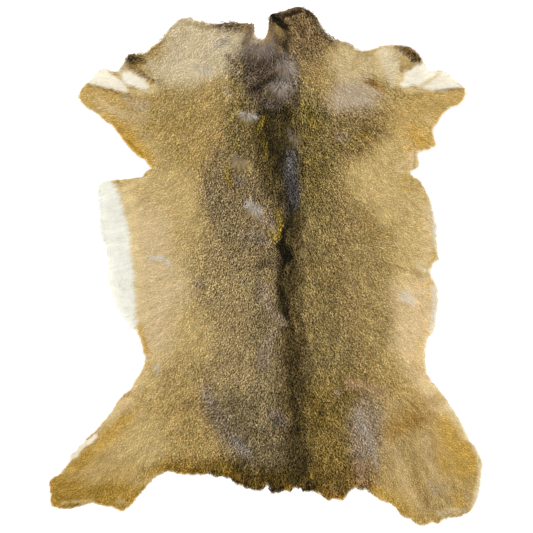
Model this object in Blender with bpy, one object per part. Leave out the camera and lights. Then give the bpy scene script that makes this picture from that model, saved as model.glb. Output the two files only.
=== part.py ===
"""A deerskin rug: one tanned hide with its hair on, lying hair side up, the neck towards +Y.

The hide is one closed solid. Its underside is the flesh side of the skin, which lies on the floor apart
from the folds and puckers near its edges. Its top is the lie of the coat. The tables are millimetres from
the middle of the hide, and the finished mesh is metres, with its origin under the middle of its box.
Run with: blender --background --python part.py
"""

import math
from collections import namedtuple

import bmesh
import bpy
import numpy as np
from mathutils import Vector, geometry, noise

MM = 0.001

# Driving dimensions of the mesh
EDGE_STEP = 14.0  # between two points of the outline
EDGE_RAGGEDNESS = 0.8  # how far the cut edge wanders from its landmarks
RAGGED_OVER = 35.0  # the length of edge over which it wanders
CREST_STEP = 13.0  # between two points along a fold's crest
FINE_STEP = 15.0  # between points near the edge and on the folds
COARSE_EVERY = 2  # one fine point in this many, each way, is kept elsewhere
FINE_BAND = 32.0  # the width of the finely divided band along the edge
EDGE_CLEARANCE = 9.0  # the nearest that an inner point comes to the outline
CREST_CLEARANCE = 8.0  # the nearest that another inner point comes to a crest's points

# Driving dimensions of the hide
RIM_DEPTH = 3.0  # skin and thin hair at the cut edge
RIM_WIDTH = 22.0  # over which the coat comes up to its full depth
COAT_DEPTH = 9.0  # skin and lying coat on the body
COAT_UNEVENNESS = 1.3
UNEVEN_OVER = 75.0  # the size of a swell in the coat
LEAST_DEPTH = 2.4

HIDE_COLOUR = (0.30, 0.22, 0.11, 1.0)
HIDE_ROUGHNESS = 0.75

CORNER = True
SMOOTH = False
Landmark = namedtuple("Landmark", "x y turn", defaults=(SMOOTH,))

# The outline, anticlockwise from the slit in the neck, in one table for each stretch of the edge
NECK_LEFT = (
    Landmark(-14, 519),
    Landmark(-25, 531),
    Landmark(-27, 557, CORNER),
    Landmark(-87, 561),
    Landmark(-117, 557),
    Landmark(-154, 565),
    Landmark(-188, 572),
    Landmark(-213, 554),
    Landmark(-238, 520),
    Landmark(-264, 501),
    Landmark(-272, 490),
    Landmark(-316, 488, CORNER),
    Landmark(-322, 474),
    Landmark(-335, 455),
    Landmark(-342, 442, CORNER),
)
LEFT_FORE_LEG = (
    Landmark(-370, 454),
    Landmark(-381, 455, CORNER),
    Landmark(-410, 419),
    Landmark(-430, 392),
    Landmark(-421, 374),
    Landmark(-390, 352),
    Landmark(-367, 332),
    Landmark(-355, 326),
    Landmark(-332, 297),
    Landmark(-320, 280),
    Landmark(-298, 257),
    Landmark(-279, 247),
    Landmark(-263, 221, CORNER),
    Landmark(-280, 213),
    Landmark(-286, 203, CORNER),
    Landmark(-322, 199),
    Landmark(-379, 190),
    Landmark(-387, 183, CORNER),
)
LEFT_FLANK = (
    Landmark(-387, 166),
    Landmark(-383, 137),
    Landmark(-378, 69),
    Landmark(-365, 40),
    Landmark(-362, -27),
    Landmark(-357, -57),
    Landmark(-345, -86),
    Landmark(-338, -105),
    Landmark(-325, -124),
    Landmark(-312, -141),
    Landmark(-296, -146, CORNER),
    Landmark(-281, -193),
    Landmark(-277, -213),
)
LEFT_HIND_LEG = (
    Landmark(-299, -263),
    Landmark(-314, -288),
    Landmark(-327, -298),
    Landmark(-373, -360),
    Landmark(-450, -438, CORNER),
    Landmark(-448, -449, CORNER),
    Landmark(-470, -476),
    Landmark(-498, -501),
    Landmark(-494, -531),
    Landmark(-496, -545),
    Landmark(-463, -557),
    Landmark(-420, -549),
    Landmark(-395, -544),
    Landmark(-370, -552),
    Landmark(-354, -552),
    Landmark(-334, -563, CORNER),
    Landmark(-304, -538),
    Landmark(-255, -485),
    Landmark(-227, -471),
)
RUMP = (
    Landmark(-188, -481),
    Landmark(-165, -478),
    Landmark(-138, -478),
    Landmark(-79, -492),
    Landmark(-43, -508),
    Landmark(-11, -511),
    Landmark(6, -500, CORNER),
    Landmark(15, -518),
    Landmark(36, -520),
    Landmark(67, -505, CORNER),
    Landmark(87, -518),
    Landmark(119, -518),
    Landmark(143, -532),
    Landmark(176, -539, CORNER),
    Landmark(196, -515),
    Landmark(217, -508),
)
RIGHT_HIND_LEG = (
    Landmark(235, -511),
    Landmark(242, -522),
    Landmark(302, -557),
    Landmark(319, -579),
    Landmark(334, -581),
    Landmark(355, -598),
    Landmark(385, -587, CORNER),
    Landmark(396, -594, CORNER),
    Landmark(407, -582),
    Landmark(450, -576),
    Landmark(477, -556),
    Landmark(494, -493),
    Landmark(498, -456),
    Landmark(486, -425),
    Landmark(471, -404),
    Landmark(449, -362),
    Landmark(428, -325),
    Landmark(401, -287),
    Landmark(371, -252),
)
RIGHT_FLANK = (
    Landmark(365, -209),
    Landmark(369, -175),
    Landmark(384, -147),
    Landmark(391, -113),
    Landmark(393, -52),
    Landmark(377, -12),
    Landmark(383, 6),
    Landmark(397, 16, CORNER),
    Landmark(394, 43),
    Landmark(389, 104),
    Landmark(377, 150),
    Landmark(357, 194, CORNER),
    Landmark(331, 210),
)
RIGHT_FORE_LEG = (
    Landmark(329, 221, CORNER),
    Landmark(352, 228),
    Landmark(347, 253),
    Landmark(347, 267, CORNER),
    Landmark(377, 269),
    Landmark(391, 281, CORNER),
    Landmark(379, 311, CORNER),
    Landmark(388, 320),
    Landmark(397, 336),
    Landmark(419, 365),
    Landmark(440, 371),
    Landmark(457, 393),
    Landmark(459, 408),
    Landmark(450, 416),
    Landmark(437, 426),
    Landmark(427, 437),
    Landmark(409, 449),
    Landmark(376, 448, CORNER),
    Landmark(357, 476),
    Landmark(342, 496),
    Landmark(327, 503),
    Landmark(307, 506),
)
NECK_RIGHT = (
    Landmark(281, 511),
    Landmark(230, 494),
    Landmark(207, 498),
    Landmark(203, 509, CORNER),
    Landmark(178, 519),
    Landmark(160, 519),
    Landmark(125, 555),
    Landmark(109, 581),
    Landmark(78, 598),
    Landmark(40, 587),
    Landmark(10, 580, CORNER),
    Landmark(5, 546),
    Landmark(-2, 526),
)
OUTLINE = (
    NECK_LEFT
    + LEFT_FORE_LEG
    + LEFT_FLANK
    + LEFT_HIND_LEG
    + RUMP
    + RIGHT_HIND_LEG
    + RIGHT_FLANK
    + RIGHT_FORE_LEG
    + NECK_RIGHT
)

# The folds that lift the skin off the floor. A fold's crest runs along its heading, in degrees from +X.
# Lean moves the crest across the width: towards 1 the left side, seen along the heading, is the steep one.
Fold = namedtuple("Fold", "x y heading length width height lean")
SHANK_FOLDS = (
    Fold(-379, 380, -14, 190, 78, 17, 0.62),  # left fore shank, rolled over its white inner side
    Fold(-275, 462, -42, 120, 56, 12, -0.60),  # left side of the neck, over the white patch
    Fold(-300, 283, -44, 150, 40, 6, -0.30),  # lower edge of the left fore leg
    Fold(-335, 190, 6, 130, 36, 6, -0.20),  # upper edge of the left flank
    Fold(400, 377, 8, 170, 70, 15, 0.55),  # right fore shank, rolled over its white inner side
    Fold(331, 480, 22, 80, 42, 9, -0.45),  # right side of the neck, over the white patch
    Fold(-425, -527, 9, 150, 34, 8, -0.40),  # turned lower edge of the left hind leg
    Fold(-345, -528, -62, 90, 46, 8, 0.10),  # heel of the left hind leg
    Fold(425, -560, 24, 120, 40, 7, -0.30),  # lower edge of the right hind leg
    Fold(478, -455, 78, 130, 44, 7, -0.30),  # outer edge of the right hind leg
)
EDGE_WAVES = (
    Fold(-362, 44, 12, 80, 40, 6, 0.20),
    Fold(-344, -74, 22, 80, 40, 5, 0.00),
    Fold(-292, -190, 20, 70, 44, 5, 0.00),
    Fold(-312, -292, -30, 70, 40, 4, 0.00),
    Fold(-156, -478, 88, 60, 44, 4, 0.00),
    Fold(-24, -500, 84, 64, 44, 5, 0.00),
    Fold(110, -512, 92, 64, 44, 5, 0.00),
    Fold(212, -516, 70, 64, 40, 5, 0.00),
    Fold(376, -6, 2, 110, 44, 8, -0.35),
    Fold(378, -44, 0, 90, 30, 5, 0.30),
    Fold(366, -120, -40, 90, 40, 6, 0.30),
    Fold(384, -300, 35, 80, 50, 5, 0.00),
    Fold(370, 118, 8, 90, 44, 5, 0.00),
    Fold(240, 494, 70, 80, 40, 6, 0.30),
    Fold(120, 540, 40, 80, 44, 5, 0.00),
    Fold(-222, 532, 130, 80, 44, 6, 0.00),
)
# The ripples at the right armpit, each in a tooth of the edge, with a valley between one and the next
Pucker = namedtuple("Pucker", "x y heading height")
PUCKER_LENGTH = 96.0
PUCKER_WIDTH = 34.0
PUCKER_LEAN = -0.3
PUCKERS = (
    Pucker(338, 194, 2, 5),
    Pucker(335, 233, -2, 9),
    Pucker(362, 279, 8, 10),
    Pucker(375, 327, -38, 9),
)

# How much deeper or thinner the coat is than on the body
CoatZone = namedtuple("CoatZone", "x y across along deeper")
COAT_ZONES = (
    CoatZone(30, 400, 110, 220, 3.0),  # mane
    CoatZone(50, -60, 70, 380, 1.6),  # back line
    CoatZone(60, -470, 260, 110, 2.0),  # rump
    CoatZone(-370, 60, 70, 230, -2.2),  # left belly
    CoatZone(385, 0, 60, 260, -2.6),  # right belly
    CoatZone(-400, 390, 110, 100, -3.0),  # left fore shank
    CoatZone(430, 400, 110, 100, -3.0),  # right fore shank
    CoatZone(-440, -500, 120, 110, -1.0),  # left hind shank
    CoatZone(430, -500, 120, 110, -1.0),  # right hind shank
)


def clear_scene():
    """Removes the objects that Blender starts with."""
    for obj in list(bpy.data.objects):
        bpy.data.objects.remove(obj, do_unlink=True)


def tangent(before, here, after, leaving):
    """The outline's direction at a landmark, which a corner keeps apart for its two sides."""
    arriving_step = here[0] - before[0]
    leaving_step = after[0] - here[0]
    if here[1] == CORNER:
        return (leaving_step if leaving else arriving_step).normalized()
    share = leaving_step.length / (arriving_step.length + leaving_step.length)
    return arriving_step.normalized() * share + leaving_step.normalized() * (1 - share)


def along_edge(start, end, start_tangent, end_tangent, share):
    """A point on the smooth curve between two landmarks."""
    chord = (end - start).length
    squared = share * share
    cubed = squared * share
    return (
        start * (2 * cubed - 3 * squared + 1)
        + start_tangent * chord * (cubed - 2 * squared + share)
        + end * (3 * squared - 2 * cubed)
        + end_tangent * chord * (cubed - squared)
    )


def ragged(point):
    """The point of the outline, moved a little as a knife and drying leave it."""
    across = noise.noise(Vector((point.x, point.y, 0)) / RAGGED_OVER)
    along = noise.noise(Vector((point.y, point.x, RAGGED_OVER)) / RAGGED_OVER)
    return point + Vector((across, along)) * 2 * EDGE_RAGGEDNESS


def outline_points():
    """The edge of the hide as one closed loop of points, in millimetres, centred on its own box."""
    marks = [(Vector((mark.x, mark.y)), mark.turn) for mark in OUTLINE]
    points = []
    for i, (start, _) in enumerate(marks):
        before, here = marks[i - 1], marks[i]
        after, beyond = marks[(i + 1) % len(marks)], marks[(i + 2) % len(marks)]
        steps = max(1, round((after[0] - start).length / EDGE_STEP))
        start_tangent = tangent(before, here, after, leaving=True)
        end_tangent = tangent(here, after, beyond, leaving=False)
        for step in range(steps):
            spot = along_edge(start, after[0], start_tangent, end_tangent, step / steps)
            points.append(ragged(spot))
    return np.array([tuple(point) for point in points])


def distance_to_edge(places, edge):
    """How far each place is from the outline."""
    nearest = np.full(len(places), np.inf)
    for start, end in zip(edge, np.roll(edge, -1, axis=0)):
        step = end - start
        share = np.clip((places - start) @ step / (step @ step), 0, 1)
        gap = np.linalg.norm(places - start - share[:, None] * step, axis=1)
        nearest = np.minimum(nearest, gap)
    return nearest


def inside(places, edge):
    """Whether each place is within the outline, by counting the edges to its right."""
    crossings = np.zeros(len(places), int)
    for start, end in zip(edge, np.roll(edge, -1, axis=0)):
        spans = (start[1] > places[:, 1]) != (end[1] > places[:, 1])
        rise = end[1] - start[1] if end[1] != start[1] else 1.0
        at = start[0] + (places[:, 1] - start[1]) * (end[0] - start[0]) / rise
        crossings += spans & (places[:, 0] < at)
    return crossings % 2 == 1


def smooth_step(share):
    """Eases from 0 to 1 as the share does."""
    share = np.clip(share, 0, 1)
    return share * share * (3 - 2 * share)


def directions(fold):
    """The directions along a fold and to its left."""
    heading = math.radians(fold.heading)
    forward = np.array((math.cos(heading), math.sin(heading)))
    return forward, np.array((-forward[1], forward[0]))


def fold_lift(places, fold):
    """How far one fold lifts each place off the floor."""
    forward, left = directions(fold)
    offset = places - np.array((fold.x, fold.y))
    along = np.abs(offset @ forward) / (fold.length / 2)
    across = (offset @ left) / (fold.width / 2)
    flank = np.where(
        across < fold.lean,
        (across + 1) / (1 + fold.lean),
        (1 - across) / (1 - fold.lean),
    )
    return fold.height * smooth_step(flank) * smooth_step((1 - along) * 2)


def all_folds():
    """Every fold, wave and pucker, in one form."""
    puckers = tuple(
        Fold(p.x, p.y, p.heading, PUCKER_LENGTH, PUCKER_WIDTH, p.height, PUCKER_LEAN)
        for p in PUCKERS
    )
    return SHANK_FOLDS + EDGE_WAVES + puckers


def lift(places):
    """The height of the underside: nothing but where a fold is."""
    heights = np.array([fold_lift(places, fold) for fold in all_folds()])
    return heights.max(axis=0)


def coat_depth(places, edge):
    """The height of the coat's lie over the underside."""
    depth = np.full(len(places), COAT_DEPTH)
    for zone in COAT_ZONES:
        offset = (places - np.array((zone.x, zone.y))) / np.array((zone.across, zone.along))
        depth += zone.deeper * np.exp(-(offset**2).sum(axis=1))
    swells = [noise.noise(Vector((x, y, 0)) / UNEVEN_OVER) for x, y in places]
    depth += COAT_UNEVENNESS * np.array(swells)
    rise = smooth_step(distance_to_edge(places, edge) / RIM_WIDTH)
    return np.maximum(LEAST_DEPTH, RIM_DEPTH + (depth - RIM_DEPTH) * rise)


def spread(places, taken):
    """The places without those that come too near one that is taken already, or one before them."""
    kept = list(taken)
    for place in places:
        gaps = np.linalg.norm(np.array(kept).reshape(-1, 2) - place, axis=1)
        if not (gaps < CREST_CLEARANCE).any():
            kept.append(place)
    return np.array(kept[len(taken) :])


def crest_points():
    """Points along the crest of every fold."""
    places = []
    for fold in all_folds():
        forward, left = directions(fold)
        middle = np.array((fold.x, fold.y)) + left * fold.lean * fold.width / 2
        steps = round(fold.length / CREST_STEP)
        for step in range(steps + 1):
            places.append(middle + forward * (step / steps - 0.5) * fold.length)
    return spread(places, [])


def inner_points(edge):
    """Points within the outline, along the crests and on a lattice that is fine by the edge and on folds."""
    row_gap = FINE_STEP * math.sqrt(3) / 2
    low, high = edge.min(axis=0), edge.max(axis=0)
    rows = int((high[1] - low[1]) / row_gap) + 1
    columns = int((high[0] - low[0]) / FINE_STEP) + 1
    row, column = np.divmod(np.arange(rows * columns), columns)
    half_step = (row // COARSE_EVERY % 2) * (FINE_STEP * COARSE_EVERY / 2)
    half_step = half_step + (row % COARSE_EVERY) * (FINE_STEP / 2)
    places = np.stack((low[0] + column * FINE_STEP + half_step, low[1] + row * row_gap), axis=1)
    coarse = (row % COARSE_EVERY == 0) & (column % COARSE_EVERY == 0)
    wanted = coarse | (distance_to_edge(places, edge) < FINE_BAND) | (lift(places) > 0)
    crests = crest_points()
    places = np.concatenate((crests, spread(places[wanted], crests)))
    clear = distance_to_edge(places, edge) > EDGE_CLEARANCE
    return places[inside(places, edge) & clear]


def make_hide():
    """The hide as one closed mesh, its underside extruded up to the lie of the coat."""
    edge = outline_points()
    flat = [Vector(place) for place in np.concatenate((edge, inner_points(edge)))]
    inside_only = 1
    tolerance = 1e-4
    spots, _, triangles, *_ = geometry.delaunay_2d_cdt(
        flat, [], [list(range(len(edge)))], inside_only, tolerance
    )
    places = np.array([tuple(spot) for spot in spots])
    low_heights = lift(places)
    depths = coat_depth(places, edge)
    middle = (edge.min(axis=0) + edge.max(axis=0)) / 2

    work = bmesh.new()
    coat = work.verts.layers.float.new("coat depth")
    sheet = [
        work.verts.new(((x - middle[0]) * MM, (y - middle[1]) * MM, z * MM))
        for (x, y), z in zip(places, low_heights)
    ]
    for vertex, depth in zip(sheet, depths):
        vertex[coat] = depth * MM
    faces = [work.faces.new([sheet[i] for i in triangle]) for triangle in triangles]
    raised = bmesh.ops.extrude_face_region(work, geom=faces, use_keep_orig=True)
    for item in raised["geom"]:
        if isinstance(item, bmesh.types.BMVert):
            item.co.z += item[coat]
    bmesh.ops.recalc_face_normals(work, faces=work.faces)
    mesh = bpy.data.meshes.new("hide")
    work.to_mesh(mesh)
    work.free()
    mesh.shade_smooth()
    mesh.set_sharp_from_angle(angle=math.radians(50))
    hide = bpy.data.objects.new("hide", mesh)
    bpy.context.collection.objects.link(hide)
    return hide


def hide_material():
    """The plain colour of the coat."""
    material = bpy.data.materials.new("deer_coat")
    material.use_nodes = True
    shader = material.node_tree.nodes["Principled BSDF"]
    shader.inputs["Base Color"].default_value = HIDE_COLOUR
    shader.inputs["Roughness"].default_value = HIDE_ROUGHNESS
    shader.inputs["Metallic"].default_value = 0.0
    return material


clear_scene()
make_hide().data.materials.append(hide_material())
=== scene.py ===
"""The finish of a deerskin rug: one tanned hide with its hair on, lying hair side up on a pale floor.

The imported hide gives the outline, the folds and the depth of the coat. Here it becomes a thin skin with a
suede flesh side, and a coat of separate hairs that grows out of it in locks, in five bands from the rump to
the neck. Places are millimetres from the middle of the hide, +Y towards the neck, and lengths are in
millimetres too, where nothing else is said. Meshes are in metres.
"""

import logging
from dataclasses import dataclass, field
from enum import Enum, IntEnum
from itertools import product
from typing import NamedTuple

import bmesh
import bpy
import numpy as np
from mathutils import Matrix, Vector
from mathutils.bvhtree import BVHTree


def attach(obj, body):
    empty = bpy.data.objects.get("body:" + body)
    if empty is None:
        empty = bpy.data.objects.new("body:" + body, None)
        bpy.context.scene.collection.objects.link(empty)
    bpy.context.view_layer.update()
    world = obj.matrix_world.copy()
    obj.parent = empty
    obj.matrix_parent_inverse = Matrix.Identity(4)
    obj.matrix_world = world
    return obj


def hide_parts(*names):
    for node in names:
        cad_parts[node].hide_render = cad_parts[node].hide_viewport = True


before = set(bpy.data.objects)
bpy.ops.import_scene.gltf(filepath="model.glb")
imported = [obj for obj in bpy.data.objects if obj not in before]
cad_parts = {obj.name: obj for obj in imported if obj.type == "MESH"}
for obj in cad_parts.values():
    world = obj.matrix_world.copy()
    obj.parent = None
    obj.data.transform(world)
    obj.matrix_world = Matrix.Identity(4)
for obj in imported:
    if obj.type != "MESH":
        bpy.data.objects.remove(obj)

MM = 0.001
TINY = 1e-9
log = logging.getLogger("deerskin rug")


# The tones of the coat


class Fleck(NamedTuple):
    """One tone of the coat: its pale flecks and the dark gaps between, as screen colours of 0 to 255."""

    pale: tuple[int, int, int]
    gap: tuple[int, int, int]


class Tone(Enum):
    """The named tones of this hide."""

    NECK_OLIVE = Fleck((160, 136, 90), (80, 58, 40))
    NECK_RUSSET = Fleck((132, 110, 85), (70, 52, 38))
    MANE_BROWN = Fleck((130, 112, 92), (50, 38, 30))
    MANE = Fleck((116, 98, 52), (16, 12, 5))
    BACK_BROWN = Fleck((118, 98, 58), (24, 18, 8))
    BLACK = Fleck((42, 36, 18), (6, 5, 2))
    STREAK_GOLD = Fleck((192, 166, 62), (96, 76, 18))
    OLIVE_GOLD = Fleck((164, 142, 78), (48, 36, 14))
    GRIZZLE = Fleck((172, 152, 110), (96, 75, 49))
    GRIZZLE_PALE = Fleck((182, 164, 120), (128, 110, 70))
    SADDLE = Fleck((165, 146, 95), (110, 90, 50))
    SADDLE_GOLD = Fleck((178, 160, 110), (136, 116, 72))
    SADDLE_TAN = Fleck((188, 166, 112), (144, 121, 71))
    FLANK_TAN = Fleck((209, 187, 134), (175, 151, 99))
    FLANK_CREAM = Fleck((220, 200, 160), (192, 169, 126))
    PALE_TAN = Fleck((213, 195, 153), (181, 161, 118))
    PALE_NECK = Fleck((218, 204, 172), (184, 168, 134))
    PEACH = Fleck((228, 206, 164), (200, 174, 128))
    SHANK_TAN = Fleck((210, 182, 130), (174, 146, 88))
    SHANK_DARK = Fleck((170, 130, 62), (110, 78, 26))
    HIND_BUFF = Fleck((190, 165, 114), (154, 130, 82))
    HIND_GOLD = Fleck((198, 168, 106), (168, 140, 80))
    HIND_OCHRE = Fleck((186, 154, 80), (146, 116, 46))
    HIND_BROWN = Fleck((156, 122, 62), (112, 80, 28))
    OCHRE = Fleck((208, 176, 98), (174, 138, 56))
    OCHRE_DARK = Fleck((176, 138, 54), (140, 104, 28))
    ORANGE = Fleck((226, 188, 112), (190, 144, 58))
    LOIN_OCHRE = Fleck((156, 134, 74), (96, 74, 28))
    RUMP_OCHRE = Fleck((156, 130, 54), (108, 82, 22))
    RUMP_BROWN = Fleck((150, 124, 66), (88, 62, 24))
    RUMP_DARK = Fleck((115, 92, 34), (28, 19, 4))
    GREY_OLIVE = Fleck((158, 142, 104), (90, 73, 45))
    GREY_MAUVE = Fleck((150, 138, 126), (85, 70, 60))
    ASH = Fleck((170, 154, 130), (124, 108, 86))
    MIST = Fleck((196, 181, 156), (166, 148, 122))
    PINK_TAN = Fleck((176, 150, 118), (150, 124, 94))
    PALE_GREY = Fleck((182, 176, 168), (142, 134, 124))
    SLATE = Fleck((108, 106, 108), (38, 36, 38))
    BLUE_WHITE = Fleck((226, 226, 220), (208, 208, 200))
    BELLY = Fleck((244, 243, 232), (236, 234, 220))
    # painted shade along the belly's outer edge
    BELLY_SHADE = Fleck((218, 223, 218), (176, 182, 172))
    BUFF_CREAM = Fleck((230, 210, 162), (208, 184, 132))
    CREAM = Fleck((234, 224, 200), (212, 196, 160))
    LEG_WHITE = Fleck((252, 247, 234), (240, 232, 210))
    TIP_BROWN = Fleck((128, 98, 55), (56, 38, 14))


class Patch(NamedTuple):
    """A broad area of the coat: its tone, its middle and its half width and half length."""

    tone: Tone
    x: float
    y: float
    across: float
    along: float


class Stroke(NamedTuple):
    """A marking: its tone, how much of it covers, how soft its edge is, and its path of (x, y, width)."""

    tone: Tone
    cover: float
    soft: float
    path: tuple[tuple[float, float, float], ...]


PATCHES = (
    # the neck, mane and shoulders
    Patch(Tone.NECK_OLIVE, 79, 555, 51, 46),
    Patch(Tone.NECK_OLIVE, 106, 497, 32, 41),
    Patch(Tone.SADDLE_TAN, 120, 433, 32, 51),
    Patch(Tone.PALE_TAN, 182, 470, 41, 32),
    Patch(Tone.PALE_TAN, 263, 483, 46, 28),
    Patch(Tone.MIST, 207, 389, 55, 28),
    Patch(Tone.SADDLE_TAN, 290, 387, 51, 37),
    Patch(Tone.SHANK_TAN, 414, 385, 51, 21),
    Patch(Tone.SADDLE, 182, 295, 66, 44),
    Patch(Tone.SHANK_TAN, 345, 330, 40, 40),
    Patch(Tone.FLANK_TAN, 304, 244, 46, 37),
    Patch(Tone.FLANK_TAN, 251, 187, 60, 51),
    Patch(Tone.PALE_NECK, -124, 509, 55, 37),
    Patch(Tone.PALE_NECK, -186, 463, 60, 37),
    Patch(Tone.SADDLE_TAN, -262, 497, 28, 21),
    Patch(Tone.SADDLE_TAN, -117, 387, 51, 37),
    Patch(Tone.SADDLE_TAN, -232, 355, 64, 46),
    Patch(Tone.SADDLE_TAN, -174, 290, 78, 55),
    Patch(Tone.SHANK_TAN, -368, 382, 51, 23),
    Patch(Tone.FLANK_TAN, -278, 267, 37, 32),
    Patch(Tone.NECK_OLIVE, -78, 550, 41, 12),
    Patch(Tone.MANE_BROWN, -36, 470, 32, 32),
    Patch(Tone.MANE_BROWN, -9, 405, 32, 46),
    Patch(Tone.MANE, 14, 336, 37, 69),
    Patch(Tone.MANE, 19, 249, 28, 46),
    Patch(Tone.OLIVE_GOLD, -64, 318, 23, 69),
    # the body and flanks
    Patch(Tone.GRIZZLE, -86, 187, 44, 78),
    Patch(Tone.GRIZZLE, -48, 72, 41, 69),
    Patch(Tone.GRIZZLE_PALE, -128, 26, 60, 69),
    Patch(Tone.GRIZZLE_PALE, -101, -124, 69, 78),
    Patch(Tone.GRIZZLE, -9, -147, 23, 92),
    Patch(Tone.FLANK_TAN, -232, 175, 51, 51),
    Patch(Tone.FLANK_CREAM, -271, 72, 46, 60),
    Patch(Tone.FLANK_TAN, -186, 72, 37, 60),
    Patch(Tone.FLANK_CREAM, -243, -43, 55, 60),
    Patch(Tone.FLANK_CREAM, -255, -147, 37, 55),
    Patch(Tone.FLANK_TAN, -174, -158, 41, 60),
    Patch(Tone.OLIVE_GOLD, 106, 336, 23, 60),
    Patch(Tone.OLIVE_GOLD, 120, 233, 28, 69),
    Patch(Tone.SADDLE, 159, 118, 51, 78),
    Patch(Tone.SADDLE, 148, -55, 51, 83),
    Patch(Tone.SADDLE_GOLD, 217, 37, 46, 83),
    Patch(Tone.FLANK_TAN, 297, 141, 51, 51),
    Patch(Tone.SADDLE_GOLD, 267, 26, 32, 51),
    Patch(Tone.FLANK_TAN, 336, 26, 41, 55),
    Patch(Tone.PEACH, 343, -78, 37, 51),
    Patch(Tone.PEACH, 336, -181, 32, 51),
    Patch(Tone.SADDLE_GOLD, 240, -124, 51, 69),
    Patch(Tone.SADDLE, 171, -193, 46, 69),
    Patch(Tone.BACK_BROWN, 60, 106, 18, 69),
    Patch(Tone.BACK_BROWN, 56, -55, 18, 92),
    Patch(Tone.BACK_BROWN, 60, -239, 23, 83),
    Patch(Tone.BACK_BROWN, 69, -400, 28, 78),
    # the loins, haunches and hind legs
    Patch(Tone.GRIZZLE_PALE, -94, -250, 78, 55),
    Patch(Tone.GREY_OLIVE, -59, -342, 55, 51),
    Patch(Tone.GREY_OLIVE, -9, -423, 46, 37),
    Patch(Tone.SADDLE_TAN, -197, -296, 55, 55),
    Patch(Tone.SADDLE_TAN, -174, -400, 55, 46),
    Patch(Tone.FLANK_TAN, -255, -250, 32, 41),
    Patch(Tone.FLANK_TAN, -289, -400, 51, 51),
    Patch(Tone.HIND_GOLD, -381, -457, 60, 37),
    Patch(Tone.HIND_GOLD, -331, -365, 32, 32),
    Patch(Tone.HIND_OCHRE, -450, -519, 51, 23),
    Patch(Tone.HIND_OCHRE, -358, -519, 37, 18),
    Patch(Tone.RUMP_OCHRE, -163, -460, 69, 16),
    Patch(Tone.RUMP_DARK, -36, -478, 60, 23),
    Patch(Tone.RUMP_DARK, 79, -487, 60, 28),
    Patch(Tone.RUMP_BROWN, 159, -487, 46, 32),
    Patch(Tone.LOIN_OCHRE, 136, -377, 51, 69),
    Patch(Tone.LOIN_OCHRE, 194, -273, 46, 37),
    Patch(Tone.ASH, 228, -365, 30, 55),
    Patch(Tone.SADDLE_TAN, 274, -250, 46, 41),
    Patch(Tone.HIND_BUFF, 327, -342, 41, 32),
    Patch(Tone.PEACH, 382, -289, 23, 41),
    Patch(Tone.HIND_BUFF, 336, -441, 51, 41),
    Patch(Tone.HIND_GOLD, 437, -423, 41, 51),
    Patch(Tone.HIND_BUFF, 378, -519, 51, 32),
    Patch(Tone.HIND_GOLD, 309, -538, 32, 18),
)
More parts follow.
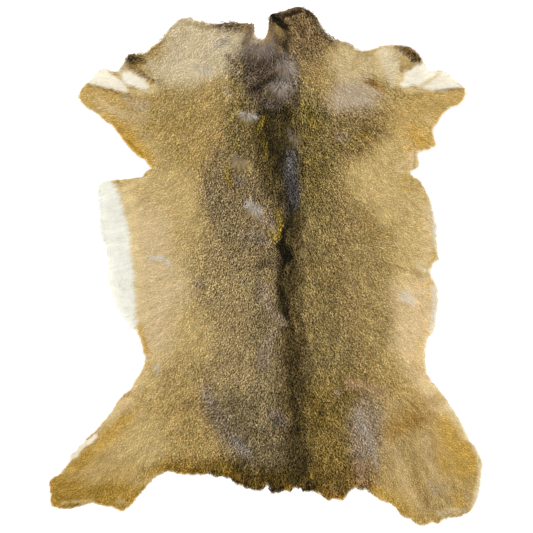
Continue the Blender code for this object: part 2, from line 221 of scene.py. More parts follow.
STROKES = (
    # the slit in the neck and the black streak beside it
    Stroke(Tone.GREY_MAUVE, 0.9, 13, ((-39, 504, 13), (-20, 495, 27), (5, 495, 32), (21, 516, 16))),
    Stroke(Tone.NECK_RUSSET, 0.8, 6.9, ((-32, 550, 13), (-39, 529, 18), (-50, 511, 13))),
    Stroke(Tone.NECK_RUSSET, 0.8, 6.9, ((12, 557, 13), (19, 534, 18), (28, 509, 13))),
    Stroke(Tone.MANE_BROWN, 0.7, 13, ((-36, 477, 27), (-9, 460, 32), (19, 470, 18))),
    Stroke(Tone.GRIZZLE_PALE, 0.8, 11, ((-64, 465, 18), (-59, 447, 18))),
    Stroke(Tone.BLACK, 1.0, 4.6, ((5, 587, 11), (23, 569, 18), (44, 550, 18))),
    Stroke(Tone.BLACK, 0.75, 9.2, ((46, 548, 18), (49, 525, 16), (42, 502, 11))),
    Stroke(Tone.STREAK_GOLD, 0.35, 6.9, ((23, 550, 6.9), (30, 527, 6.9))),
    Stroke(Tone.NECK_OLIVE, 0.6, 11, ((-87, 479, 13), (-73, 470, 13))),
    # the mane
    Stroke(Tone.MANE, 0.75, 27, ((26, 391, 46), (12, 325, 69), (19, 267, 59), (42, 233, 41))),
    Stroke(Tone.BLACK, 0.6, 16, ((10, 355, 27), (0, 302, 34), (14, 263, 27))),
    Stroke(Tone.BLACK, 0.6, 11, ((46, 364, 16), (44, 332, 18), (35, 290, 18))),
    Stroke(Tone.BLACK, 0.7, 11, ((42, 276, 20), (37, 249, 20), (21, 230, 11))),
    Stroke(Tone.BLACK, 0.75, 6.9, ((-32, 405, 6.9), (-9, 417, 11), (14, 433, 11), (33, 449, 9.2))),
    Stroke(Tone.MANE_BROWN, 0.7, 13, ((67, 479, 16), (74, 447, 18), (74, 410, 18), (69, 373, 18))),
    Stroke(Tone.MANE_BROWN, 0.6, 13, ((-41, 447, 18), (-32, 424, 18))),
    Stroke(Tone.STREAK_GOLD, 0.5, 5.8, ((0, 343, 9.2), (-13, 327, 9.2), (-20, 309, 9.2))),
    Stroke(Tone.STREAK_GOLD, 0.5, 5.8, ((-6, 304, 9.2), (-9, 286, 6.9), (5, 263, 9.2), (0, 249, 6.9))),
    Stroke(Tone.STREAK_GOLD, 0.5, 6.9, ((-73, 304, 6.9), (-64, 281, 6.9), (-69, 263, 6.9))),
    Stroke(Tone.STREAK_GOLD, 0.5, 9.2, ((88, 373, 11), (102, 341, 16), (115, 322, 11))),
    Stroke(Tone.STREAK_GOLD, 0.75, 6.9, ((-85, 226, 9.2), (-92, 205, 11), (-80, 187, 9.2))),
    Stroke(Tone.OLIVE_GOLD, 0.6, 11, ((86, 182, 16), (102, 175, 13))),
    # the line of the back
    Stroke(Tone.MANE, 0.55, 23, ((58, 125, 29), (51, 37, 32), (49, -55, 32), (58, -181, 29))),
    Stroke(Tone.SLATE, 0.85, 29, ((60, 258, 27), (60, 217, 34), (65, 175, 34), (58, 134, 18))),
    Stroke(Tone.BLACK, 0.6, 6.9, ((44, 263, 6.9), (40, 226, 6.9), (44, 189, 6.9), (46, 152, 9.2))),
    Stroke(Tone.BLACK, 0.6, 6.9, ((79, 249, 4.6), (86, 217, 6.9), (88, 184, 4.6))),
    Stroke(Tone.BLACK, 0.8, 9.2, ((53, 141, 9.2), (60, 115, 13), (51, 92, 13))),
    Stroke(Tone.BLACK, 1.0, 4.6, ((46, 86, 11), (35, 58, 18), (42, 40, 27), (51, 21, 20), (42, 5, 11))),
    Stroke(Tone.BLACK, 0.55, 13, ((-9, 7, 18), (14, 5, 23), (42, 5, 18))),
    Stroke(Tone.BLACK, 0.85, 6.9, (
        (35, -4, 9.2), (30, -39, 9.2), (35, -71, 13), (42, -98, 9.2), (51, -128, 6.9),
    )),
    Stroke(Tone.BLACK, 0.6, 9.2, ((51, -128, 6.9), (53, -193, 9.2), (58, -257, 9.2), (60, -308, 9.2))),
    Stroke(Tone.MANE, 0.35, 27, ((58, -181, 27), (65, -308, 41), (72, -423, 41), (88, -506, 50))),
    Stroke(Tone.BLACK, 0.35, 20, ((63, -296, 11), (72, -377, 18), (83, -460, 27), (90, -510, 32))),
    Stroke(Tone.RUMP_DARK, 0.55, 20, ((102, -303, 27), (120, -326, 32), (113, -363, 27))),
    Stroke(Tone.STREAK_GOLD, 0.9, 4.6, ((28, 129, 9.2), (35, 102, 11), (28, 69, 9.2))),
    Stroke(Tone.STREAK_GOLD, 0.75, 6.9, ((0, 90, 9.2), (17, 69, 11), (21, 51, 9.2))),
    Stroke(Tone.STREAK_GOLD, 0.6, 6.9, ((-2, -23, 6.9), (7, -59, 6.9))),
    # parted hair, where its pale base shows
    Stroke(Tone.GREY_MAUVE, 0.75, 20, ((40, 474, 41), (51, 437, 50), (40, 398, 41))),
    Stroke(Tone.PALE_GREY, 0.35, 16, ((46, 474, 18), (58, 451, 18))),
    Stroke(Tone.PALE_GREY, 0.45, 18, ((19, 410, 20), (42, 417, 25))),
    Stroke(Tone.GREY_MAUVE, 0.6, 13, ((5, 378, 20), (23, 368, 18))),
    Stroke(Tone.GREY_MAUVE, 0.6, 13, ((58, 309, 18), (69, 286, 16))),
    Stroke(Tone.PALE_GREY, 0.75, 9.2, ((-55, 350, 16), (-27, 343, 16))),
    Stroke(Tone.GREY_OLIVE, 0.6, 13, ((-69, 318, 18), (-55, 295, 20))),
    Stroke(Tone.PALE_GREY, 0.6, 11, ((-110, 511, 20), (-92, 518, 18))),
    Stroke(Tone.PALE_GREY, 0.5, 11, ((-154, 456, 18), (-138, 451, 18))),
    Stroke(Tone.PALE_GREY, 0.4, 9.2, ((-92, 410, 11), (-87, 391, 11))),
    Stroke(Tone.GREY_MAUVE, 0.6, 11, ((-69, 249, 18), (-55, 244, 16))),
    Stroke(Tone.GREY_MAUVE, 0.6, 13, ((-59, 198, 25),)),
    Stroke(Tone.PALE_GREY, 1.0, 11, ((-41, 145, 16), (-25, 136, 23), (-9, 122, 11))),
    Stroke(Tone.ASH, 0.8, 13, ((-9, 113, 20), (10, 92, 18))),
    Stroke(Tone.ASH, 0.6, 16, ((-50, 74, 20), (-23, 69, 27), (0, 58, 18))),
    Stroke(Tone.ASH, 0.8, 13, ((-9, -41, 23), (0, -78, 27), (23, -115, 18), (40, -128, 9.2))),
    Stroke(Tone.ASH, 0.7, 16, ((14, -156, 23), (0, -184, 29), (-6, -225, 27))),
    Stroke(Tone.GREY_MAUVE, 0.6, 16, ((14, -345, 23), (37, -356, 25))),
    Stroke(Tone.PALE_GREY, 0.5, 13, ((-140, -292, 18), (-126, -312, 16))),
    Stroke(Tone.PALE_GREY, 0.6, 16, ((-78, -391, 16), (-62, -414, 20), (-43, -427, 16))),
    Stroke(Tone.GREY_MAUVE, 0.4, 16, ((-151, -41, 27),)),
    Stroke(Tone.GREY_MAUVE, 0.4, 41, (
        (-138, -285, 32), (-121, -335, 41), (-78, -395, 46), (-36, -437, 27),
    )),
    Stroke(Tone.GREY_MAUVE, 0.4, 13, ((-276, -469, 18), (-292, -487, 16))),
    Stroke(Tone.BLUE_WHITE, 0.5, 6.9, ((-262, 19, 11), (-239, 17, 13), (-223, 5, 11))),
    Stroke(Tone.BLUE_WHITE, 0.4, 9.2, ((-250, -225, 9.2), (-246, -243, 9.2))),
    Stroke(Tone.PALE_GREY, 0.5, 9.2, ((166, -289, 13),)),
    Stroke(Tone.PINK_TAN, 0.5, 18, ((194, -271, 27), (230, -276, 27), (272, -294, 23))),
    # the left side
    Stroke(Tone.TIP_BROWN, 0.9, 11, ((-319, 481, 13), (-308, 472, 27), (-285, 467, 18))),
    Stroke(Tone.HIND_OCHRE, 0.5, 16, ((-294, 458, 27), (-269, 440, 23))),
    Stroke(Tone.TIP_BROWN, 0.4, 9.2, ((-301, 474, 18), (-287, 474, 11))),
    Stroke(Tone.LEG_WHITE, 1.0, 4.6, (
        (-395, 428, 32), (-374, 433, 41), (-351, 421, 32), (-331, 408, 20), (-317, 398, 6.9),
    )),
    Stroke(Tone.BUFF_CREAM, 0.7, 13, ((-280, 414, 27), (-253, 405, 20))),
    Stroke(Tone.LEG_WHITE, 1.0, 8, ((-331, 442, 13), (-315, 431, 32), (-294, 424, 27), (-276, 414, 16))),
    Stroke(Tone.BUFF_CREAM, 0.7, 9.2, ((-312, 398, 11), (-289, 396, 13), (-264, 403, 11))),
    Stroke(Tone.SHANK_TAN, 0.8, 4.6, ((-358, 447, 3.4), (-340, 437, 4.6), (-331, 447, 3.4))),
    Stroke(Tone.SHANK_DARK, 0.5, 5.8, (
        (-409, 417, 4.6), (-381, 410, 6.9), (-354, 401, 6.9), (-331, 389, 4.6),
    )),
    Stroke(Tone.SHANK_DARK, 0.8, 5.8, (
        (-317, 458, 5.8), (-299, 447, 6.9), (-276, 433, 6.9), (-257, 419, 4.6),
    )),
    Stroke(Tone.MIST, 0.5, 11, ((-326, 387, 13), (-305, 375, 18), (-280, 371, 27))),
    Stroke(Tone.SHANK_TAN, 0.6, 18, ((-404, 373, 23), (-358, 341, 27), (-301, 322, 32))),
    Stroke(Tone.FLANK_CREAM, 0.5, 13, ((-381, 366, 16), (-340, 355, 20), (-285, 341, 27))),
    Stroke(Tone.PEACH, 0.5, 9.2, ((-386, 385, 11), (-358, 366, 13), (-331, 348, 13))),
    Stroke(Tone.HIND_BROWN, 0.5, 6.9, ((-197, 548, 9.2), (-186, 532, 9.2))),
    Stroke(Tone.OCHRE, 0.7, 16, ((-349, 332, 20), (-331, 313, 27), (-312, 295, 27))),
    Stroke(Tone.OCHRE, 0.8, 16, ((-312, 290, 29), (-287, 267, 32), (-266, 242, 23))),
    Stroke(Tone.OCHRE_DARK, 0.4, 9.2, ((-340, 313, 9.2), (-303, 274, 9.2), (-266, 237, 6.9))),
    Stroke(Tone.BUFF_CREAM, 0.8, 11, ((-326, 196, 13), (-303, 194, 20), (-282, 201, 18))),
    Stroke(Tone.BUFF_CREAM, 0.85, 20, (
        (-322, 175, 27), (-310, 129, 32), (-305, 37, 34), (-299, -55, 32), (-294, -119, 23),
    )),
    Stroke(Tone.BELLY, 1.0, 11, (
        (-377, 184, 50), (-365, 152, 62), (-358, 95, 82), (-351, 37, 78), (-342, -20, 78), (-333, -78, 64),
        (-319, -126, 46),
    )),
    # painted shade along the belly's outer edge
    Stroke(Tone.BELLY_SHADE, 0.5, 6.9, (
        (-386, 171, 6.9), (-381, 115, 6.9), (-374, 69, 6.9), (-365, 23, 6.9),
    )),
    Stroke(Tone.OCHRE, 0.7, 9.2, ((-289, -133, 11), (-282, -161, 16), (-276, -197, 11))),
    Stroke(Tone.OCHRE_DARK, 0.5, 5.8, ((-282, -193, 6.9), (-262, -200, 4.6))),
    # the left haunch and hind leg
    Stroke(Tone.LEG_WHITE, 0.9, 3.4, ((-450, -443, 13), (-423, -418, 16), (-393, -391, 9.2))),
    Stroke(Tone.BUFF_CREAM, 0.8, 6.9, (
        (-386, -379, 11), (-358, -340, 13), (-331, -305, 11), (-301, -266, 13), (-282, -232, 9.2),
    )),
    Stroke(Tone.BUFF_CREAM, 0.5, 13, ((-317, -308, 18), (-340, -335, 20), (-358, -363, 18))),
    Stroke(Tone.OCHRE, 0.6, 18, ((-377, -407, 23), (-349, -379, 29), (-322, -354, 25))),
    Stroke(Tone.PEACH, 0.5, 18, ((-340, -331, 23), (-312, -294, 27), (-282, -253, 23))),
    Stroke(Tone.OCHRE_DARK, 0.5, 9.2, ((-331, -299, 11), (-312, -299, 6.9))),
    Stroke(Tone.OCHRE, 0.45, 18, ((-450, -469, 18), (-418, -441, 27), (-386, -414, 27))),
    Stroke(Tone.HIND_OCHRE, 0.6, 13, ((-437, -460, 18), (-404, -437, 18))),
    Stroke(Tone.FLANK_TAN, 0.55, 32, ((-303, -400, 41), (-345, -441, 50), (-400, -483, 32))),
    Stroke(Tone.HIND_OCHRE, 0.8, 9.2, ((-492, -501, 13), (-487, -533, 18), (-469, -552, 13))),
    Stroke(Tone.OCHRE_DARK, 0.6, 6.9, ((-483, -533, 9.2), (-460, -538, 9.2), (-432, -529, 6.9))),
    Stroke(Tone.HIND_OCHRE, 0.7, 13, ((-400, -519, 18), (-368, -510, 20), (-354, -533, 18))),
    Stroke(Tone.BUFF_CREAM, 0.6, 6.9, ((-464, -545, 9.2), (-432, -540, 9.2), (-400, -540, 6.9))),
    Stroke(Tone.BUFF_CREAM, 0.5, 6.9, ((-340, -538, 9.2), (-326, -545, 9.2))),
    Stroke(Tone.RUMP_BROWN, 0.4, 16, ((-188, -319, 27), (-165, -317, 20))),
    Stroke(Tone.SADDLE_GOLD, 0.5, 18, ((-230, -248, 27), (-216, -280, 32))),
    # the rump
    Stroke(Tone.HIND_OCHRE, 0.6, 13, ((-285, -483, 18), (-253, -464, 20), (-225, -453, 18))),
    Stroke(Tone.RUMP_OCHRE, 0.7, 11, ((-232, -466, 13), (-193, -471, 16), (-151, -471, 18))),
    Stroke(Tone.RUMP_DARK, 0.55, 18, (
        (-124, -478, 18), (-59, -487, 23), (-9, -492, 27), (37, -501, 27), (90, -506, 32), (129, -510, 23),
    )),
    Stroke(Tone.BLACK, 0.6, 9.2, ((17, -512, 9.2), (35, -515, 9.2))),
    Stroke(Tone.OCHRE_DARK, 0.6, 9.2, ((-92, -473, 9.2), (-64, -485, 9.2))),
    Stroke(Tone.OCHRE_DARK, 0.5, 9.2, ((-23, -499, 9.2), (-4, -503, 9.2))),
    Stroke(Tone.OCHRE_DARK, 0.5, 9.2, ((49, -510, 9.2), (63, -508, 9.2))),
    Stroke(Tone.OCHRE_DARK, 0.6, 11, ((125, -517, 11), (152, -529, 13), (184, -529, 13))),
    Stroke(Tone.BLACK, 0.6, 9.2, ((72, -508, 11), (88, -512, 11), (106, -510, 9.2))),
    Stroke(Tone.RUMP_BROWN, 0.6, 13, ((157, -515, 20), (178, -524, 16))),
    Stroke(Tone.HIND_OCHRE, 0.7, 9.2, ((240, -506, 9.2), (253, -517, 9.2))),
    # the neck's right side and the right fore leg
    Stroke(Tone.GRIZZLE_PALE, 0.6, 11, ((115, 566, 9.2), (132, 539, 13), (148, 520, 16))),
    Stroke(Tone.BLUE_WHITE, 0.6, 3.4, ((129, 552, 4.6), (150, 529, 4.6), (175, 520, 4.6), (198, 513, 4.6))),
    Stroke(Tone.HIND_GOLD, 0.5, 9.2, ((148, 506, 11), (138, 483, 9.2), (184, 511, 9.2))),
    Stroke(Tone.HIND_GOLD, 0.6, 9.2, ((212, 488, 9.2), (207, 465, 9.2), (198, 447, 9.2))),
    Stroke(Tone.HIND_GOLD, 0.5, 9.2, ((240, 497, 13), (249, 474, 11), (258, 456, 9.2))),
    Stroke(Tone.BUFF_CREAM, 0.7, 18, ((258, 474, 23), (267, 442, 23))),
    Stroke(Tone.CREAM, 0.9, 20, ((272, 490, 23), (283, 463, 39), (295, 433, 29))),
    Stroke(Tone.TIP_BROWN, 0.95, 6.9, ((306, 506, 18), (327, 497, 29), (345, 479, 25))),
    Stroke(Tone.HIND_GOLD, 0.7, 11, ((316, 470, 18), (334, 458, 16))),
    Stroke(Tone.BUFF_CREAM, 0.8, 13, ((306, 447, 18), (311, 419, 20), (336, 405, 16))),
    Stroke(Tone.SHANK_DARK, 0.5, 6.9, ((313, 456, 6.9), (309, 437, 4.6))),
    Stroke(Tone.LEG_WHITE, 1.0, 5.8, (
        (318, 419, 13), (332, 433, 32), (355, 437, 50), (378, 428, 50), (405, 424, 48), (431, 419, 27),
        (449, 412, 9.2),
    )),
    Stroke(Tone.LEG_WHITE, 0.9, 6.9, ((364, 460, 13), (355, 447, 27))),
    Stroke(Tone.BUFF_CREAM, 0.8, 6.9, ((359, 412, 9.2), (380, 428, 9.2), (401, 440, 6.9))),
    Stroke(Tone.BUFF_CREAM, 0.6, 11, ((322, 405, 11), (350, 403, 11), (378, 401, 9.2))),
    Stroke(Tone.SHANK_DARK, 0.7, 4.6, ((391, 403, 4.6), (424, 405, 6.9), (451, 408, 6.9))),
    Stroke(Tone.SHANK_TAN, 0.5, 18, ((345, 385, 27), (387, 380, 36), (424, 387, 23))),
    Stroke(Tone.MIST, 0.8, 13, ((175, 380, 29), (203, 389, 43), (230, 394, 39), (249, 401, 18))),
    Stroke(Tone.HIND_BROWN, 0.8, 6.9, ((226, 426, 9.2), (244, 424, 16), (263, 410, 11), (274, 401, 4.6))),
    Stroke(Tone.HIND_GOLD, 0.5, 6.9, ((249, 433, 6.9), (267, 419, 6.9))),
    # the right armpit and shoulder
    Stroke(Tone.SADDLE, 0.5, 20, ((182, 350, 27), (230, 355, 29), (272, 350, 23))),
    Stroke(Tone.SHANK_TAN, 0.6, 27, ((309, 364, 32), (336, 345, 36), (355, 322, 27))),
    Stroke(Tone.ASH, 0.6, 11, ((164, 309, 20), (180, 299, 20))),
    Stroke(Tone.RUMP_BROWN, 0.6, 6.9, ((148, 297, 6.9), (155, 316, 6.9), (173, 322, 4.6))),
    Stroke(Tone.RUMP_BROWN, 0.6, 9.2, ((157, 274, 9.2), (182, 267, 11), (212, 267, 9.2))),
    Stroke(Tone.RUMP_OCHRE, 0.5, 13, ((194, 288, 13), (224, 299, 23), (244, 295, 13))),
    Stroke(Tone.RUMP_OCHRE, 0.5, 13, ((230, 332, 13), (226, 313, 11))),
    Stroke(Tone.SHANK_TAN, 0.6, 13, ((364, 355, 18), (378, 322, 16))),
    Stroke(Tone.ORANGE, 0.6, 6.9, ((334, 322, 6.9), (355, 304, 9.2), (380, 283, 6.9))),
    Stroke(Tone.OCHRE, 0.7, 13, ((332, 304, 18), (350, 286, 20), (366, 276, 13))),
    Stroke(Tone.OCHRE_DARK, 0.6, 5.8, ((336, 295, 4.6), (355, 290, 6.9), (378, 286, 4.6))),
    Stroke(Tone.ORANGE, 0.6, 6.9, ((322, 272, 9.2), (345, 272, 6.9))),
    Stroke(Tone.PEACH, 0.8, 13, ((304, 226, 18), (334, 237, 23), (336, 263, 16))),
    Stroke(Tone.PEACH, 0.6, 9.2, ((368, 345, 11), (385, 327, 11))),
    Stroke(Tone.OCHRE, 0.5, 6.9, ((313, 203, 9.2), (336, 198, 9.2))),
    Stroke(Tone.OCHRE, 0.4, 9.2, ((309, 180, 9.2), (345, 173, 9.2))),
    # the right flank
    Stroke(Tone.PEACH, 0.6, 18, ((366, 141, 18), (375, 83, 23), (373, 26, 23))),
    Stroke(Tone.BLUE_WHITE, 0.6, 6.9, ((378, 143, 4.6), (387, 97, 6.9), (391, 46, 6.9))),
    Stroke(Tone.CREAM, 0.5, 16, ((350, 10, 13), (371, -13, 16))),
    Stroke(Tone.BLUE_WHITE, 0.4, 18, ((318, -69, 23), (334, -82, 18))),
    Stroke(Tone.BLUE_WHITE, 0.7, 6.9, (
        (387, -46, 6.9), (389, -87, 6.9), (385, -124, 6.9), (375, -154, 4.6),
    )),
    Stroke(Tone.ORANGE, 0.5, 4.6, ((359, -43, 4.6), (382, -48, 4.6))),
    Stroke(Tone.ORANGE, 0.5, 4.6, ((364, -66, 4.6), (385, -71, 4.6))),
    Stroke(Tone.ORANGE, 0.5, 4.6, ((357, -138, 4.6), (371, -154, 4.6))),
    Stroke(Tone.HIND_GOLD, 0.35, 6.9, ((272, 5, 4.6), (313, 0, 4.6), (359, -13, 4.6))),
    Stroke(Tone.HIND_GOLD, 0.35, 6.9, ((295, -87, 4.6), (332, -94, 4.6))),
    Stroke(Tone.RUMP_BROWN, 0.4, 6.9, (
        (69, 3, 6.9), (148, 7, 6.9), (217, 10, 6.9), (290, 0, 6.9), (355, -18, 4.6),
    )),
    Stroke(Tone.PEACH, 0.5, 11, ((290, -46, 13), (336, -52, 16), (378, -59, 13))),
    Stroke(Tone.PEACH, 0.45, 11, ((299, -142, 13), (341, -149, 13), (368, -161, 11))),
    Stroke(Tone.BUFF_CREAM, 0.6, 13, ((350, -179, 18), (355, -211, 18))),
    Stroke(Tone.OCHRE, 0.4, 11, ((352, -170, 9.2), (343, -207, 9.2), (350, -234, 9.2))),
    Stroke(Tone.RUMP_OCHRE, 0.25, 23, ((230, 125, 32), (244, 69, 36), (318, 102, 23))),
    # the right haunch and hind leg
    Stroke(Tone.ASH, 0.75, 23, ((226, -319, 32), (228, -354, 55), (233, -395, 46), (233, -427, 27))),
    Stroke(Tone.PALE_GREY, 0.35, 16, ((212, -340, 23), (224, -377, 27), (235, -404, 18))),
    Stroke(Tone.PINK_TAN, 0.45, 16, ((217, -455, 27), (221, -492, 27))),
    Stroke(Tone.PALE_GREY, 0.5, 6.9, ((244, -414, 6.9), (253, -441, 9.2), (258, -464, 6.9))),
    Stroke(Tone.BUFF_CREAM, 0.7, 9.2, (
        (368, -271, 20), (391, -294, 20), (417, -331, 18), (437, -365, 16), (458, -400, 13),
    )),
    Stroke(Tone.CREAM, 0.8, 5.8, (
        (378, -266, 9.2), (401, -289, 9.2), (428, -328, 9.2), (449, -365, 9.2), (470, -400, 9.2),
    )),
    Stroke(Tone.CREAM, 0.8, 6.9, (
        (474, -400, 11), (490, -437, 11), (495, -478, 11), (490, -519, 13), (477, -554, 13),
    )),
    Stroke(Tone.OCHRE_DARK, 0.45, 36, ((281, -381, 36), (320, -356, 59), (364, -326, 59), (398, -308, 27))),
    Stroke(Tone.HIND_BROWN, 0.45, 27, ((304, -377, 23), (336, -363, 29), (380, -347, 23))),
    Stroke(Tone.HIND_GOLD, 0.5, 18, ((332, -289, 27), (355, -303, 23))),
    Stroke(Tone.OCHRE, 0.6, 27, ((403, -354, 27), (421, -391, 41), (447, -423, 46), (456, -473, 27))),
    Stroke(Tone.OCHRE, 0.7, 13, ((460, -418, 20), (479, -446, 18), (474, -469, 13))),
    Stroke(Tone.OCHRE, 0.4, 13, ((405, -437, 18), (414, -469, 16))),
    Stroke(Tone.PALE_GREY, 0.35, 11, ((378, -496, 11), (391, -524, 13))),
    Stroke(Tone.PEACH, 0.3, 16, ((299, -427, 20), (318, -492, 25), (350, -552, 16))),
    Stroke(Tone.PEACH, 0.3, 16, ((364, -400, 20), (382, -460, 20), (414, -519, 16))),
    Stroke(Tone.HIND_BROWN, 0.4, 11, ((332, -441, 9.2), (350, -496, 13), (373, -552, 9.2))),
    Stroke(Tone.OCHRE, 0.6, 11, ((442, -529, 18), (444, -554, 18))),
    Stroke(Tone.CREAM, 0.4, 11, ((396, -570, 11), (424, -563, 13), (460, -561, 11))),
    Stroke(Tone.OCHRE, 0.5, 11, ((382, -570, 9.2), (394, -588, 6.9))),
    Stroke(Tone.HIND_OCHRE, 0.7, 11, ((258, -515, 13), (290, -538, 18), (318, -561, 18))),
    Stroke(Tone.HIND_OCHRE, 0.5, 13, ((336, -565, 16), (359, -584, 16))),
)


# The lie of the hair


class Lay(NamedTuple):
    """Which way the hair points about one place, in degrees from +X, and how far that reaches."""

    x: float
    y: float
    heading: float
    reach: float


class Whorl(NamedTuple):
    """A place that the hair grows away from, how far that reaches, and how far it stands open."""

    x: float
    y: float
    reach: float
    opened: float


LAYS = (
    # the neck and fore legs
    Lay(-120, 515, 232, 60),
    Lay(-210, 480, 228, 60),
    Lay(-265, 490, 215, 40),
    Lay(-150, 400, 235, 80),
    Lay(-290, 330, 205, 60),
    Lay(-370, 385, 186, 60),
    Lay(-375, 430, 165, 30),
    Lay(-300, 440, 160, 26),
    Lay(-300, 280, 196, 50),
    Lay(10, 400, 265, 60),
    Lay(80, 540, 286, 60),
    Lay(120, 450, 298, 50),
    Lay(200, 470, 325, 40),
    Lay(262, 480, 48, 36),
    Lay(325, 470, 70, 20),
    Lay(345, 440, 30, 26),
    Lay(400, 430, 28, 40),
    Lay(210, 380, 315, 60),
    Lay(310, 380, 338, 50),
    Lay(420, 385, 2, 50),
    Lay(390, 345, 338, 30),
    Lay(345, 320, 322, 36),
    Lay(380, 290, 340, 26),
    Lay(335, 240, 352, 40),
    # the body and flanks
    Lay(-150, 300, 238, 80),
    Lay(-90, 200, 250, 80),
    Lay(-260, 150, 204, 70),
    Lay(-330, 80, 182, 70),
    Lay(-330, -80, 184, 70),
    Lay(-250, -20, 202, 70),
    Lay(-160, -20, 228, 80),
    Lay(-60, 0, 252, 60),
    Lay(-90, -160, 246, 90),
    Lay(-230, -160, 214, 70),
    Lay(60, 200, 268, 60),
    Lay(60, 0, 270, 60),
    Lay(60, -200, 270, 60),
    Lay(160, 220, 300, 80),
    Lay(270, 180, 326, 60),
    Lay(160, 20, 300, 80),
    Lay(270, 20, 322, 70),
    Lay(370, 60, 348, 50),
    Lay(370, -60, 346, 50),
    Lay(160, -160, 296, 90),
    Lay(280, -150, 322, 70),
    Lay(360, -170, 330, 50),
    # the haunches and hind legs
    Lay(-170, -320, 232, 80),
    Lay(-270, -300, 222, 50),
    Lay(-120, -420, 250, 70),
    Lay(-280, -440, 226, 60),
    Lay(-360, -400, 218, 50),
    Lay(-440, -480, 212, 60),
    Lay(-470, -540, 202, 36),
    Lay(-340, -520, 246, 36),
    Lay(-260, -470, 250, 40),
    Lay(0, -450, 266, 80),
    Lay(90, -480, 272, 60),
    Lay(160, -470, 280, 60),
    Lay(230, -440, 286, 60),
    Lay(180, -320, 294, 80),
    Lay(320, -320, 316, 60),
    Lay(390, -320, 326, 50),
    Lay(350, -440, 300, 50),
    Lay(310, -520, 304, 40),
    Lay(370, -560, 284, 40),
    Lay(410, -520, 296, 40),
    Lay(460, -530, 322, 36),
    Lay(470, -440, 338, 40),
    Lay(420, -390, 336, 40),
)
WHORLS = (
    Whorl(-12, 530, 60, 38),
    Whorl(45, 461, 26, 16),
    Whorl(30, 415, 24, 15),
    Whorl(-44, 350, 18, 12),
    Whorl(-26, 134, 18, 12),
    Whorl(-4, 88, 18, 7),
    Whorl(-57, 246, 22, 13),
    Whorl(66, 300, 18, 10),
    Whorl(-148, 456, 24, 14),
)


def linear(colour: tuple[int, int, int]) -> tuple[float, float, float]:
    """A screen colour of 0 to 255 as light from 0 to 1, by the screen standard's own numbers."""
    shares = [part / 255 for part in colour]
    return tuple(s / 12.92 if s <= 0.04045 else ((s + 0.055) / 1.055) ** 2.4 for s in shares)


def eased(share: np.ndarray) -> np.ndarray:
    """Rises smoothly from 0 to 1 as the share does."""
    share = np.clip(share, 0, 1)
    return share * share * (3 - 2 * share)


def unit(arrows: np.ndarray) -> np.ndarray:
    """The arrows, each one long."""
    return arrows / np.maximum(np.linalg.norm(arrows, axis=-1, keepdims=True), TINY)


def turned(arrows: np.ndarray, angles: np.ndarray) -> np.ndarray:
    """The arrows, each turned to the left by its angle in radians."""
    left = np.stack((-arrows[:, 1], arrows[:, 0]), axis=1)
    return arrows * np.cos(angles)[:, None] + left * np.sin(angles)[:, None]


def nearness(places: np.ndarray, middle: tuple[float, float], reach: float) -> np.ndarray:
    """How near each place is to a middle, from 0, far off, to 1."""
    return np.exp(-((places - middle) ** 2).sum(axis=1) / reach**2)


class Seed(IntEnum):
    """What picks each smooth random field, so that no two are alike."""

    WANDER_X = 11
    WANDER_Y = 12
    RAGGED_X = 13
    RAGGED_Y = 14
    STREAKS = 15
    CLOUDS = 16
    CURL = 21
    RIDGES = 31
    TUFTS = 32
    FRINGE = 33


class Mottle:
    """A smooth random field over the floor, the same on every run."""

    CELLS = 128

    def __init__(self, seed: Seed, size: float) -> None:
        """Draws the field.

        Args:
            seed: What picks it.
            size: How far apart its swells are, in millimetres.
        """
        self.size = size
        self.values = np.random.default_rng(int(seed)).uniform(-1, 1, (self.CELLS, self.CELLS))

    def __call__(self, places: np.ndarray) -> np.ndarray:
        """The field's value at each place.

        Args:
            places: One row of x and y for each place, in millimetres.

        Returns:
            One number for each place, from -1 to 1.
        """
        spots = places / self.size
        corners = np.floor(spots).astype(int)
        share = eased(spots - corners)
        total = 0.0
        for i, j in ((0, 0), (1, 0), (0, 1), (1, 1)):
            value = self.values[(corners[:, 0] + i) % self.CELLS, (corners[:, 1] + j) % self.CELLS]
            part_x = share[:, 0] if i else 1 - share[:, 0]
            part_y = share[:, 1] if j else 1 - share[:, 1]
            total = total + value * part_x * part_y
        return total


